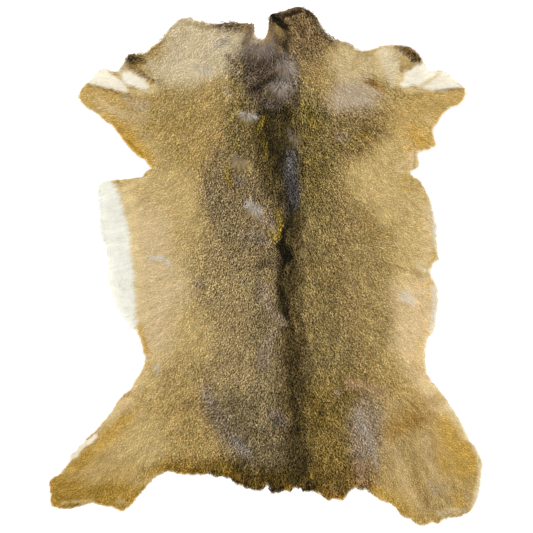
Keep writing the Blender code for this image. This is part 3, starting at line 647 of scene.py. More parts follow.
@dataclass
class HideForm:
    """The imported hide, measured on a lattice: its flesh side's height, the depth over that, and its edge."""

    node: bpy.types.Object
    # the lattice: its step, its margin past the edge, and how many steps its values are carried past it
    step: float = 2.5
    margin: float = 30.0
    spread_steps: int = 8
    # how far off the rays start, in metres
    ray_start: float = 0.2
    # how close two corners are that are one, and how far the underside's steepest face still faces down
    merge_within: float = 0.01
    facing_down: float = -0.2

    def __post_init__(self) -> None:
        """Casts rays through the hide on the lattice, and measures each place's distance from the edge."""
        self.sheet = self._flesh_sheet()
        edge = [e for e in self.sheet.edges if e.is_boundary]
        ends = np.array([[v.co.to_2d() for v in e.verts] for e in edge]) / MM
        self.low = ends.min(axis=(0, 1)) - self.margin
        self.high = ends.max(axis=(0, 1)) + self.margin
        self.shape = tuple(((self.high - self.low) / self.step).astype(int) + 2)
        columns, rows = np.meshgrid(np.arange(self.shape[0]), np.arange(self.shape[1]), indexing="ij")
        lattice = self.low + np.stack((columns, rows), axis=-1).reshape(-1, 2) * self.step
        under, depth = self._cast(lattice)
        inward = self._distance(lattice, ends) * np.where(np.isnan(depth), -1, 1)
        self.under = self._spread(under.reshape(self.shape))
        self.depth = self._spread(depth.reshape(self.shape))
        self.inward = inward.reshape(self.shape)
        slope = np.gradient(self.inward, self.step)
        self.outward_x, self.outward_y = -slope[0], -slope[1]

    def _flesh_sheet(self) -> bmesh.types.BMesh:
        """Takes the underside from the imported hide.

        Returns:
            Its faces, merged, as one open sheet that faces down.
        """
        sheet = bmesh.new()
        sheet.from_mesh(self.node.data)
        bmesh.ops.remove_doubles(sheet, verts=sheet.verts, dist=self.merge_within * MM)
        others = [face for face in sheet.faces if face.normal.z > self.facing_down]
        bmesh.ops.delete(sheet, geom=others, context="FACES")
        return sheet

    def _cast(self, lattice: np.ndarray) -> tuple[np.ndarray, np.ndarray]:
        """Measures the hide by a ray up and a ray down at each place.

        Args:
            lattice: One row of x and y for each place, in millimetres.

        Returns:
            The flesh side's height and the depth over it, in millimetres, nan where there is no hide.
        """
        tree = BVHTree.FromPolygons(
            [vertex.co for vertex in self.node.data.vertices],
            [tuple(face.vertices) for face in self.node.data.polygons],
        )
        up, down = Vector((0, 0, 1)), Vector((0, 0, -1))
        under = np.full(len(lattice), np.nan)
        depth = np.full(len(lattice), np.nan)
        for i, (x, y) in enumerate(lattice * MM):
            low = tree.ray_cast(Vector((x, y, -self.ray_start)), up)[0]
            high = tree.ray_cast(Vector((x, y, self.ray_start)), down)[0]
            if low is not None and high is not None:
                under[i] = low.z / MM
                depth[i] = (high.z - low.z) / MM
        return under, depth

    @staticmethod
    def _distance(lattice: np.ndarray, ends: np.ndarray) -> np.ndarray:
        """How far each place is from the edge.

        Args:
            lattice: One row of x and y for each place, in millimetres.
            ends: The two ends of each stretch of the edge.

        Returns:
            One distance for each place, in millimetres.
        """
        nearest = np.full(len(lattice), np.inf)
        for start, end in ends:
            run = end - start
            share = np.clip((lattice - start) @ run / (run @ run), 0, 1)
            nearest = np.minimum(nearest, np.linalg.norm(lattice - start - share[:, None] * run, axis=1))
        return nearest

    def _spread(self, grid: np.ndarray) -> np.ndarray:
        """Carries a grid's values a little way past the edge.

        Args:
            grid: The values, nan where there is no hide.

        Returns:
            The same grid, carried on, and 0 beyond that.
        """
        beside = [(shift, axis) for shift in (-1, 1) for axis in (0, 1)]
        for _ in range(self.spread_steps):
            known = np.where(np.isnan(grid), 0, grid)
            count = (~np.isnan(grid)).astype(float)
            total = sum(np.roll(known, shift, axis) for shift, axis in beside)
            number = sum(np.roll(count, shift, axis) for shift, axis in beside)
            grid = np.where(np.isnan(grid) & (number > 0), total / np.maximum(number, 1), grid)
        return np.nan_to_num(grid)

    def read(self, grid: np.ndarray, places: np.ndarray) -> np.ndarray:
        """A measured value at each place.

        Args:
            grid: One of the form's own grids.
            places: One row of x and y for each place, in millimetres.

        Returns:
            One number for each place.
        """
        last = np.array(self.shape) - 1.001  # a little before the last row, so that one more row follows
        spots = np.clip((places - self.low) / self.step, 0, last)
        corner = spots.astype(int)
        share = spots - corner
        left = grid[corner[:, 0], corner[:, 1]] * (1 - share[:, 0])
        left += grid[corner[:, 0] + 1, corner[:, 1]] * share[:, 0]
        right = grid[corner[:, 0], corner[:, 1] + 1] * (1 - share[:, 0])
        right += grid[corner[:, 0] + 1, corner[:, 1] + 1] * share[:, 0]
        return left * (1 - share[:, 1]) + right * share[:, 1]

    def outward(self, places: np.ndarray) -> np.ndarray:
        """The direction from each place to the nearest stretch of the edge, and on past it."""
        return unit(np.stack((self.read(self.outward_x, places), self.read(self.outward_y, places)), axis=1))


@dataclass(frozen=True)
class CoatPattern:
    """Which tones and which lie the coat has at each place."""

    # how far the edge of a marking wanders, broadly and finely, and over what lengths
    wander: float = 3.0
    wander_over: float = 22.0
    ragged: float = 1.8
    ragged_over: float = 7.0
    # how strongly a broad patch is felt far from its own place
    blend: float = 0.02
    # how much further apart a tone's two colours are set, and the least of its dark one that is left
    stronger: float = 2.05
    darkest: float = 0.25
    # how unlike a plain and a flecked tone's two colours are, as the logarithm of their ratio, how light a
    # plain tone comes out, and how much lighter a flecked one
    plain_ratio: float = 0.10
    flecked_ratio: float = 0.85
    plain_gain: float = 0.90
    flecked_gain: float = 0.5
    # how much of its flecks the coat loses where it stands open
    parted_loss: float = 0.8
    # the lie away from the places of the table: how many degrees it turns to the sides, over what width,
    # and how weak it is, and then how strongly a whorl turns the hair
    sideways: float = 55.0
    sideways_over: float = 170.0
    lie_least: float = 0.15
    whorl_pull: float = 1.1
    # how many degrees the lie curls, and over what length
    curl: float = 6.0
    curl_over: float = 14.0
    # the streaks along the hair: how strong they are at three lightnesses, their size and their two parts
    brush: tuple[float, float, float] = (0.5, 0.12, 0.04)
    brush_light: tuple[float, float, float] = (0.05, 0.22, 0.6)
    brush_width: float = 4.5
    brush_length: float = 9.0
    brush_steps: int = 5
    brush_fine: float = 1.5
    brush_broad: float = 0.5
    # the line of the back, as y and x
    back: tuple[tuple[float, float], ...] = (
        (-600, 85), (-420, 72), (-180, 56), (0, 50), (150, 54), (600, 20),
    )

    def wandering(self, places: np.ndarray) -> np.ndarray:
        """Moves the places a little, so that no marking has a ruled edge.

        Args:
            places: One row of x and y for each place, in millimetres.

        Returns:
            The moved places.
        """
        broad = [Mottle(seed, self.wander_over)(places) for seed in (Seed.WANDER_X, Seed.WANDER_Y)]
        fine = [Mottle(seed, self.ragged_over)(places) for seed in (Seed.RAGGED_X, Seed.RAGGED_Y)]
        return places + np.stack(broad, axis=1) * self.wander + np.stack(fine, axis=1) * self.ragged

    def tones(self, places: np.ndarray) -> tuple[np.ndarray, np.ndarray]:
        """The coat's colours at each place.

        Args:
            places: One row of x and y for each place, in millimetres.

        Returns:
            The colours of the pale flecks and of the dark gaps, one row for each place.
        """
        places = self.wandering(places)
        colours = np.zeros((len(places), 6))
        weights = np.zeros((len(places), 1))
        for patch in PATCHES:
            offset = (places - (patch.x, patch.y)) / (patch.across, patch.along)
            reach = (offset**2).sum(axis=1)
            weight = (np.exp(-reach) + self.blend / (1 + reach) ** 3)[:, None]
            colours += weight * self.pair(patch.tone)
            weights += weight
        colours /= weights
        for stroke in STROKES:
            self._lay_stroke(colours, places, stroke)
        return colours[:, :3], colours[:, 3:]

    def brushed(self, places: np.ndarray, lie: np.ndarray, colour: np.ndarray) -> np.ndarray:
        """How much lighter or darker the coat is at each place for the streaks that run along its hair.

        Args:
            places: One row of x and y for each place, in millimetres.
            lie: The direction of the hair there.
            colour: The coat's colour there. Dark coats are streaked more.

        Returns:
            One factor for each place, about 1.
        """
        steps = np.linspace(-1, 1, self.brush_steps) * self.brush_length
        fine = Mottle(Seed.STREAKS, self.brush_width)
        streaks = sum(fine(places + lie * step) for step in steps) / np.sqrt(len(steps))
        clouds = Mottle(Seed.CLOUDS, self.wander_over)(places)
        strength = np.interp(colour.mean(axis=1), self.brush_light, self.brush)
        return np.exp(strength * (self.brush_fine * streaks + self.brush_broad * clouds))

    def apart(self, pale: np.ndarray, gap: np.ndarray) -> tuple[np.ndarray, np.ndarray]:
        """Sets two colours further apart about the same middle, since hairs side by side blend.

        Args:
            pale: The pale colours, one row for each place.
            gap: The dark colours.

        Returns:
            The pale and the dark colours, further apart.
        """
        middle = (pale + gap) / 2
        gain = self.plain_gain + self.flecked_gain * self.flecked(pale, gap)[:, None]
        dark = np.maximum(middle - (middle - gap) * self.stronger, gap * self.darkest)
        return (2 * middle - dark) * gain, dark * gain

    @staticmethod
    def pair(tone: Tone) -> np.ndarray:
        """A tone's two colours in one row."""
        return np.array(linear(tone.value.pale) + linear(tone.value.gap))

    def open_at(self, places: np.ndarray) -> np.ndarray:
        """How far the hair stands open at each place, from 0 to 1."""
        return np.max([nearness(places, (whorl.x, whorl.y), whorl.opened) for whorl in WHORLS], axis=0)

    def flecked(self, pale: np.ndarray, gap: np.ndarray, parted: np.ndarray | float = 0.0) -> np.ndarray:
        """How strongly the coat is flecked, from 0, plain hair, to 1.

        Args:
            pale: The pale colours, one row for each place.
            gap: The dark colours.
            parted: How far the hair stands open.

        Returns:
            One number for each place.
        """
        apart = np.log(pale.mean(axis=1) / gap.mean(axis=1))
        flecked = eased((apart - self.plain_ratio) / (self.flecked_ratio - self.plain_ratio))
        return flecked * (1 - self.parted_loss * parted)

    def _lay_stroke(self, colours: np.ndarray, places: np.ndarray, stroke: Stroke) -> None:
        """Lays one marking over the colours.

        Args:
            colours: Both colours in one row for each place, which change.
            places: One row of x and y for each place, in millimetres.
            stroke: The marking.
        """
        path = np.array(stroke.path, dtype=float)
        room = path[:, 2].max() + stroke.soft
        low, high = path[:, :2].min(axis=0) - room, path[:, :2].max(axis=0) + room
        near = np.flatnonzero(((places > low) & (places < high)).all(axis=1))
        spots = places[near]
        outside = np.full(len(near), np.inf)
        for start, end in zip(path, path[1:] if len(path) > 1 else path):
            run = end[:2] - start[:2]
            share = np.clip((spots - start[:2]) @ run / max(run @ run, TINY), 0, 1)
            away = np.linalg.norm(spots - start[:2] - share[:, None] * run, axis=1)
            outside = np.minimum(outside, away - (start[2] + share * (end[2] - start[2])) / 2)
        cover = stroke.cover * (1 - eased(outside / stroke.soft + 0.5))[:, None]
        colours[near] += (self.pair(stroke.tone) - colours[near]) * cover

    def lie(self, places: np.ndarray) -> np.ndarray:
        """The direction that the hair points in.

        Args:
            places: One row of x and y for each place, in millimetres.

        Returns:
            One arrow for each place, one long.
        """
        line = np.interp(places[:, 1], *np.array(self.back).T)
        turn = np.radians(self.sideways) * np.tanh((places[:, 0] - line) / self.sideways_over)
        arrows = self.lie_least * np.stack((np.sin(turn), -np.cos(turn)), axis=1)
        for lay in LAYS:
            heading = np.radians(lay.heading)
            near = nearness(places, (lay.x, lay.y), lay.reach)[:, None]
            arrows += near * (np.cos(heading), np.sin(heading))
        arrows = unit(arrows)
        for whorl in WHORLS:
            near = nearness(places, (whorl.x, whorl.y), whorl.reach)[:, None]
            arrows += self.whorl_pull * near * unit(places - (whorl.x, whorl.y))
        return unit(turned(unit(arrows), np.radians(self.curl) * Mottle(Seed.CURL, self.curl_over)(places)))


# Materials


class Number:
    """A number inside a material, on which shader maths is written as plain expressions."""

    def __init__(self, tree: "Tree", socket: bpy.types.NodeSocket) -> None:
        """Takes the material that the number is in, and the output that gives it."""
        self.tree = tree
        self.socket = socket

    def maths(self, operation: str, other: "Number | float" = 0.0) -> "Number":
        """This number put through one Math node.

        Args:
            operation: The node's operation.
            other: The second number.

        Returns:
            The node's result.
        """
        node = self.tree.node("ShaderNodeMath", {"operation": operation}, {0: self, 1: other})
        return Number(self.tree, node.outputs[0])

    def __add__(self, other: "Number | float") -> "Number":
        """This number plus another."""
        return self.maths("ADD", other)

    def __sub__(self, other: "Number | float") -> "Number":
        """This number less another."""
        return self.maths("SUBTRACT", other)

    def __mul__(self, other: "Number | float") -> "Number":
        """This number times another."""
        return self.maths("MULTIPLY", other)

    def __rsub__(self, other: float) -> "Number":
        """A plain number less this one."""
        return self * -1 + other

    __radd__ = __add__
    __rmul__ = __mul__

    def rise(self, start: float, end: float) -> "Number":
        """Smoothly from 0 where this number is start to 1 where it is end.

        Args:
            start: The number that gives 0.
            end: The number that gives 1.

        Returns:
            A number from 0 to 1.
        """
        settings = {"interpolation_type": "SMOOTHSTEP"}
        node = self.tree.node("ShaderNodeMapRange", settings, {0: self, 1: start, 2: end})
        return Number(self.tree, node.outputs[0])


class Tree:
    """One material and the nodes that make it."""

    def __init__(self, name: str) -> None:
        """Makes the material, with its plain shader.

        Args:
            name: The material's.
        """
        self.material = bpy.data.materials.new(name)
        self.material.use_nodes = True
        self.nodes = self.material.node_tree.nodes
        self.shader = self.nodes["Principled BSDF"]

    def node(self, kind: str, settings: dict | None = None, inputs: dict | None = None) -> bpy.types.Node:
        """A new node.

        Args:
            kind: Its type.
            settings: The node's own options, by name.
            inputs: What its sockets take, by name or number: a value, a Number or another node's output.

        Returns:
            The node.
        """
        node = self.nodes.new(kind)
        for name, value in (settings or {}).items():
            setattr(node, name, value)
        for name, value in (inputs or {}).items():
            self.feed(node.inputs[name], value)
        return node

    def feed(self, socket: bpy.types.NodeSocket, value: object) -> None:
        """Links a socket to an output or sets its value.

        Args:
            socket: The socket.
            value: A value, a Number or another node's output.
        """
        if isinstance(value, Number):
            value = value.socket
        if isinstance(value, bpy.types.NodeSocket):
            self.material.node_tree.links.new(value, socket)
        else:
            socket.default_value = value

    def number(self, name: str) -> Number:
        """A number that the piece's mesh carries."""
        return Number(self, self.node("ShaderNodeAttribute", {"attribute_name": name}).outputs["Fac"])

    def colour(self, name: str) -> bpy.types.NodeSocket:
        """A colour that the piece's mesh carries."""
        return self.node("ShaderNodeAttribute", {"attribute_name": name}).outputs["Color"]

    def noise(self, size: float, detail: float, stretch: tuple[float, float, float] = (1, 1, 1)) -> Number:
        """Cloudy noise in the object's own space.

        Args:
            size: How far apart the clouds are, in metres.
            detail: How many finer layers they have.
            stretch: How much longer they are along each axis.

        Returns:
            A number from 0 to 1, mostly about 0.5.
        """
        place = self.node("ShaderNodeTexCoord").outputs["Object"]
        scale = tuple(1 / part for part in stretch)
        mapped = self.node("ShaderNodeMapping", {}, {"Vector": place, "Scale": scale}).outputs[0]
        node = self.node("ShaderNodeTexNoise", {}, {"Vector": mapped, "Scale": 1 / size, "Detail": detail})
        return Number(self, node.outputs[0])

    def mix(self, factor: Number | float, first: object, second: object) -> bpy.types.NodeSocket:
        """One colour turned into another.

        Args:
            factor: 0 for the first colour, 1 for the second.
            first: A colour or a node's output.
            second: A colour or a node's output.

        Returns:
            The mixed colour.
        """
        node = self.node("ShaderNodeMix", {"data_type": "RGBA"}, {0: factor, 6: first, 7: second})
        return node.outputs[2]

    def scaled(self, colour: bpy.types.NodeSocket, times: Number) -> bpy.types.NodeSocket:
        """A colour made brighter or darker."""
        node = self.node("ShaderNodeVectorMath", {"operation": "SCALE"}, {0: colour, "Scale": times})
        return node.outputs[0]

    def bump(self, height: Number, distance: float) -> bpy.types.NodeSocket:
        """The surface's normal, roughened by a relief of 0 to 1 that is so many metres high."""
        return self.node("ShaderNodeBump", {}, {"Height": height, "Distance": distance}).outputs[0]

    def dress(self, **sockets: object) -> bpy.types.Material:
        """Feeds the shader's sockets.

        Args:
            sockets: What each takes, by its name with _ for a space.

        Returns:
            The finished material.
        """
        for name, value in sockets.items():
            self.feed(self.shader.inputs[name.replace("_", " ")], value)
        return self.material


def rgba(colour: tuple[float, float, float]) -> tuple[float, float, float, float]:
    """The colour with nothing see-through."""
    return (*colour, 1.0)


@dataclass(frozen=True)
class CoatFinish:
    """Banded hair: a dull root, a dark middle, a pale band and a dark tip, with painted shade deep in the coat
    towards the root.
    """

    roughness: float = 0.62
    gloss_gain: float = 0.12
    specular: float = 0.06
    # where along the hair its pale band starts and ends, how far that shifts, and what a parting shows of it
    band_start: tuple[float, float] = (0.70, 0.78)
    band_end: tuple[float, float] = (0.90, 0.97)
    band_shift: float = 0.12
    parted_band: float = 0.5
    # painted shade deep in the coat: how much darker the root is, and up to where
    root_painted_shade: float = 0.45
    root_shade_end: tuple[float, float] = (0.1, 0.6)
    # how much one hair differs from the next, and how much of that is left in a parting
    brightness_varies: float = 1.1
    parted_varies: float = 0.5
    # the fine hairs of one blade: how many they are, how they shift from blade to blade, the painted shade in
    # the grooves between them, and their relief
    hairs_across: float = 2.6
    hairs_shift: float = 5.0
    hair_shade: float = 0.08
    hair_relief: float = 0.00012

    def material(self) -> bpy.types.Material:
        """Makes the finish, which reads what the mesh's hairs carry.

        Returns:
            The material.
        """
        tree = Tree("deer_coat")
        along, across, chance = tree.number("along"), tree.number("across"), tree.number("chance")
        flecked, core, parted = tree.number("flecked"), tree.number("core"), tree.number("parted")
        shifted = along + (chance - 0.5) * self.band_shift
        band = shifted.rise(*self.band_start) * (1 - shifted.rise(*self.band_end)) * core
        shown = band + parted * (self.parted_band - band)
        uneven = flecked.maths("MAXIMUM", parted * self.parted_varies)
        hair = (across * self.hairs_across + chance * self.hairs_shift).maths("PINGPONG", 1.0)
        # painted shade deep in the coat, darkest at the root, none where the coat is plain
        rooted = 1 - flecked * self.root_painted_shade * (1 - along.rise(*self.root_shade_end))
        varied = 1 + uneven * self.brightness_varies * (chance - 0.5)
        # painted shade in the grooves between the fine hairs of a blade
        shaded = (1 - self.hair_shade / 2) + self.hair_shade * hair
        colour = tree.mix(shown, tree.colour("gap"), tree.colour("pale"))
        return tree.dress(
            Base_Color=tree.scaled(colour, rooted * varied * shaded),
            Roughness=self.roughness - self.gloss_gain * hair,
            Specular_IOR_Level=self.specular,
            Normal=tree.bump(hair, self.hair_relief),
        )


@dataclass(frozen=True)
class SkinFinish:
    """Soft tanned leather: a suede flesh side and cut edge, and short underfur on the hair side."""

    cream: tuple[int, int, int] = (222, 208, 184)
    shade: tuple[int, int, int] = (196, 176, 146)
    bluish: tuple[int, int, int] = (214, 207, 193)
    yellow: tuple[int, int, int] = (204, 176, 128)
    # the broad clouds, the stains and the veins: size in metres, detail, what part of the noise, and cover
    clouds: tuple[float, float] = (0.16, 4.0)
    cloud_range: tuple[float, float] = (0.35, 0.65)
    stains: tuple[float, float] = (0.034, 3.0)
    stain_range: tuple[float, float] = (0.45, 0.8)
    stain_cover: float = 0.45
    veins: tuple[float, float] = (0.11, 5.0)
    vein_width: float = 0.018
    vein_cover: float = 0.16
    # the nap, and the marks where it has been brushed
    nap: tuple[float, float] = (0.0011, 3.0)
    brush: tuple[float, float] = (0.006, 2.0)
    brush_stretch: tuple[float, float, float] = (1.0, 3.5, 1.0)
    # how bright the suede is, and what the nap and the brushing add
    brightness: tuple[float, float, float] = (0.86, 0.16, 0.12)
    # the relief in metres, and the parts of the nap, the brushing and the veins in it
    relief: float = 0.0005
    relief_parts: tuple[float, float, float] = (0.6, 0.4, 0.3)
    roughness: float = 0.82
    nap_roughness: float = 0.14
    specular: float = 0.1

    def material(self) -> bpy.types.Material:
        """Makes the finish, which reads the mesh's underfur and furred.

        Returns:
            The material.
        """
        tree = Tree("tanned_skin")
        clouds, stains = tree.noise(*self.clouds), tree.noise(*self.stains)
        nap, brushed = tree.noise(*self.nap), tree.noise(*self.brush, self.brush_stretch)
        vein = (tree.noise(*self.veins) - 0.5).maths("ABSOLUTE").rise(0.0, self.vein_width)
        suede = tree.mix(clouds.rise(*self.cloud_range), rgba(linear(self.cream)), rgba(linear(self.bluish)))
        suede = tree.mix(stains.rise(*self.stain_range) * self.stain_cover, suede, rgba(linear(self.shade)))
        suede = tree.mix(self.vein_cover * (1 - vein), suede, rgba(linear(self.yellow)))
        plain, from_nap, from_brushing = self.brightness
        suede = tree.scaled(suede, plain + from_nap * nap + from_brushing * brushed)
        nap_part, brushed_part, vein_part = self.relief_parts
        relief = nap_part * nap + brushed_part * brushed + vein_part * vein
        return tree.dress(
            Base_Color=tree.mix(tree.number("furred"), suede, tree.colour("underfur")),
            Roughness=self.roughness + self.nap_roughness * nap,
            Specular_IOR_Level=self.specular,
            Normal=tree.bump(relief, self.relief),
        )


@dataclass(frozen=True)
class FloorFinish:
    """A pale, plain, matt floor."""

    pale: float = 0.92
    varies: float = 0.01
    grain: tuple[float, float] = (0.004, 2.0)
    roughness: float = 0.9
    grain_roughness: float = 0.05

    def material(self) -> bpy.types.Material:
        """Makes the finish.

        Returns:
            The material.
        """
        tree = Tree("pale_floor")
        grain = tree.noise(*self.grain)
        colour = tree.mix(grain, rgba((self.pale - self.varies,) * 3), rgba((self.pale + self.varies,) * 3))
        return tree.dress(Base_Color=colour, Roughness=self.roughness + self.grain_roughness * grain)


# The pieces


def put(mesh: bpy.types.Mesh, name: str, values: np.ndarray) -> None:
    """Notes a number or a colour on each vertex of a mesh.

    Args:
        mesh: The mesh.
        name: What materials read it by.
        values: One number or one row of three for each vertex.
    """
    if values.ndim == 1:
        mesh.attributes.new(name, "FLOAT", "POINT").data.foreach_set("value", values)
        return
    full = np.column_stack((values, np.ones(len(values))))
    mesh.attributes.new(name, "FLOAT_COLOR", "POINT").data.foreach_set("color", full.reshape(-1))


def show(name: str, data: bpy.types.ID) -> bpy.types.Object:
    """Puts a new object into the scene.

    Args:
        name: The object's.
        data: Its mesh, light or camera.

    Returns:
        The object, at the origin.
    """
    shown = bpy.data.objects.new(name, data)
    bpy.context.scene.collection.objects.link(shown)
    return shown


@dataclass
class Skin:
    """The tanned skin: a thin sheet with a flesh side below and short underfur above."""

    form: HideForm
    pattern: CoatPattern
    thickness: float = 1.9
    rim: float = 0.35
    # the fringe past the skin's own edge, and the outflow of hair where that starts and is whole
    fringe: float = 4.0
    outflow: tuple[float, float] = (-0.1, 0.8)
    # how much of a corner is kept where the edge moves in
    keep_corners: float = 0.33
    # how little a face of the edge's wall faces up or down
    wall: float = 0.3
    # how dark the underfur is, from its pale colour to its dark one
    underfur_dark: float = 0.8

    def inset(self, places: np.ndarray) -> np.ndarray:
        """How far the skin stays inside the outline, which the fringe reaches.

        Args:
            places: One row of x and y for each place, in millimetres.

        Returns:
            One distance for each place, in millimetres: nothing where hair grows inward.
        """
        outflow = (self.pattern.lie(places) * self.form.outward(places)).sum(axis=1)
        none, whole = self.outflow
        return self.fringe * eased((outflow - none) / (whole - none))

    def _draw_in(self, sheet: bmesh.types.BMesh) -> None:
        """Moves the edge of the sheet in from under the fringe.

        Args:
            sheet: The flesh side as an open sheet, which changes.
        """
        rim = [vertex for vertex in sheet.verts if vertex.is_boundary]
        places = np.array([vertex.co.to_2d() for vertex in rim]) / MM
        moves = -self.form.outward(places) * self.inset(places)[:, None] * MM
        moved = []
        for vertex, (x, y) in zip(rim, moves):
            beside = [e.other_vert(vertex).co for e in vertex.link_edges if e.is_boundary]
            corner = vertex.co - (beside[0] + beside[1]) / 2
            moved.append(vertex.co + corner * self.keep_corners + Vector((x, y, 0)))
            moved[-1].z = vertex.co.z
        for vertex, place in zip(rim, moved):
            vertex.co = place

    def _smooth_sheet(self) -> bpy.types.Mesh:
        """Makes the flesh side finer and smooth.

        Returns:
            Its mesh, an open sheet.
        """
        mesh = bpy.data.meshes.new("flesh_side")
        self._draw_in(self.form.sheet)
        self.form.sheet.to_mesh(mesh)
        rough = show("flesh_side", mesh)
        finer = rough.modifiers.new("finer", "SUBSURF")
        finer.levels = finer.render_levels = 1
        smooth = bpy.data.meshes.new_from_object(rough.evaluated_get(bpy.context.evaluated_depsgraph_get()))
        bpy.data.objects.remove(rough, do_unlink=True)
        return smooth

    def build(self) -> bpy.types.Object:
        """Builds the skin.

        Returns:
            One closed piece.
        """
        mesh = self._smooth_sheet()
        work = bmesh.new()
        work.from_mesh(mesh)
        furred = work.verts.layers.float.new("furred")
        raised = bmesh.ops.extrude_face_region(work, geom=work.faces[:], use_keep_orig=True)
        tops = [item for item in raised["geom"] if isinstance(item, bmesh.types.BMVert)]
        bmesh.ops.translate(work, verts=tops, vec=(0, 0, self.thickness * MM))
        for vertex in tops:
            vertex[furred] = 1.0
        bmesh.ops.recalc_face_normals(work, faces=work.faces)
        rims = [e for e in work.edges if e.is_manifold and self._is_rim(e)]
        bmesh.ops.bevel(
            work, geom=rims, offset=self.rim * MM, segments=1, profile=0.5, affect="EDGES", material=-1
        )
        work.to_mesh(mesh)
        work.free()
        mesh.shade_smooth()
        self._colour(mesh)
        mesh.materials.clear()
        mesh.materials.append(SkinFinish().material())
        return show("tanned_skin", mesh)

    def _is_rim(self, edge: bmesh.types.BMEdge) -> bool:
        """Whether an edge runs between the cut edge's wall and the flesh side or the hair side."""
        steep = [abs(face.normal.z) < self.wall for face in edge.link_faces]
        return steep[0] != steep[1]

    def _colour(self, mesh: bpy.types.Mesh) -> None:
        """Notes on the mesh which colour the underfur has.

        Args:
            mesh: The skin's mesh, which changes.
        """
        places = np.empty(len(mesh.vertices) * 3)
        mesh.vertices.foreach_get("co", places)
        places = places.reshape(-1, 3)[:, :2] / MM
        pale, gap = self.pattern.tones(places)
        flecked = self.pattern.flecked(pale, gap, self.pattern.open_at(places))[:, None]
        pale, gap = self.pattern.apart(pale, gap)
        put(mesh, "underfur", pale + (gap - pale) * self.underfur_dark * flecked)


class Locks(NamedTuple):
    """Each hair's lock: its middle, and numbers from 0 to 1 that chance gives all of its hairs."""

    middle: np.ndarray
    chance: np.ndarray
    height: np.ndarray
    turn: np.ndarray
    warmth: np.ndarray
    along: np.ndarray


@dataclass
class Hairs:
    """Many hairs: where each is rooted, bends and ends, which way its width runs, and what it carries."""

    root: np.ndarray
    bend: np.ndarray
    tip: np.ndarray
    side: np.ndarray
    pale: np.ndarray
    gap: np.ndarray
    flecked: np.ndarray
    parted: np.ndarray
    core: np.ndarray
    chance: np.ndarray

    def only(self, chosen: np.ndarray) -> "Hairs":
        """The chosen hairs."""
        return Hairs(**{name: values[chosen] for name, values in vars(self).items()})


class Band(Enum):
    """The bands that the coat is made in, from the rump to the neck."""

    HAUNCHES = "coat_haunches"
    LOINS = "coat_loins"
    FLANKS = "coat_flanks"
    SHOULDERS = "coat_shoulders"
    NECK = "coat_neck"


def with_flecks(plain: float, flecked: np.ndarray) -> np.ndarray:
    """A share that is so much where the coat is plain, and 1 where it is flecked."""
    return plain + (1 - plain) * flecked


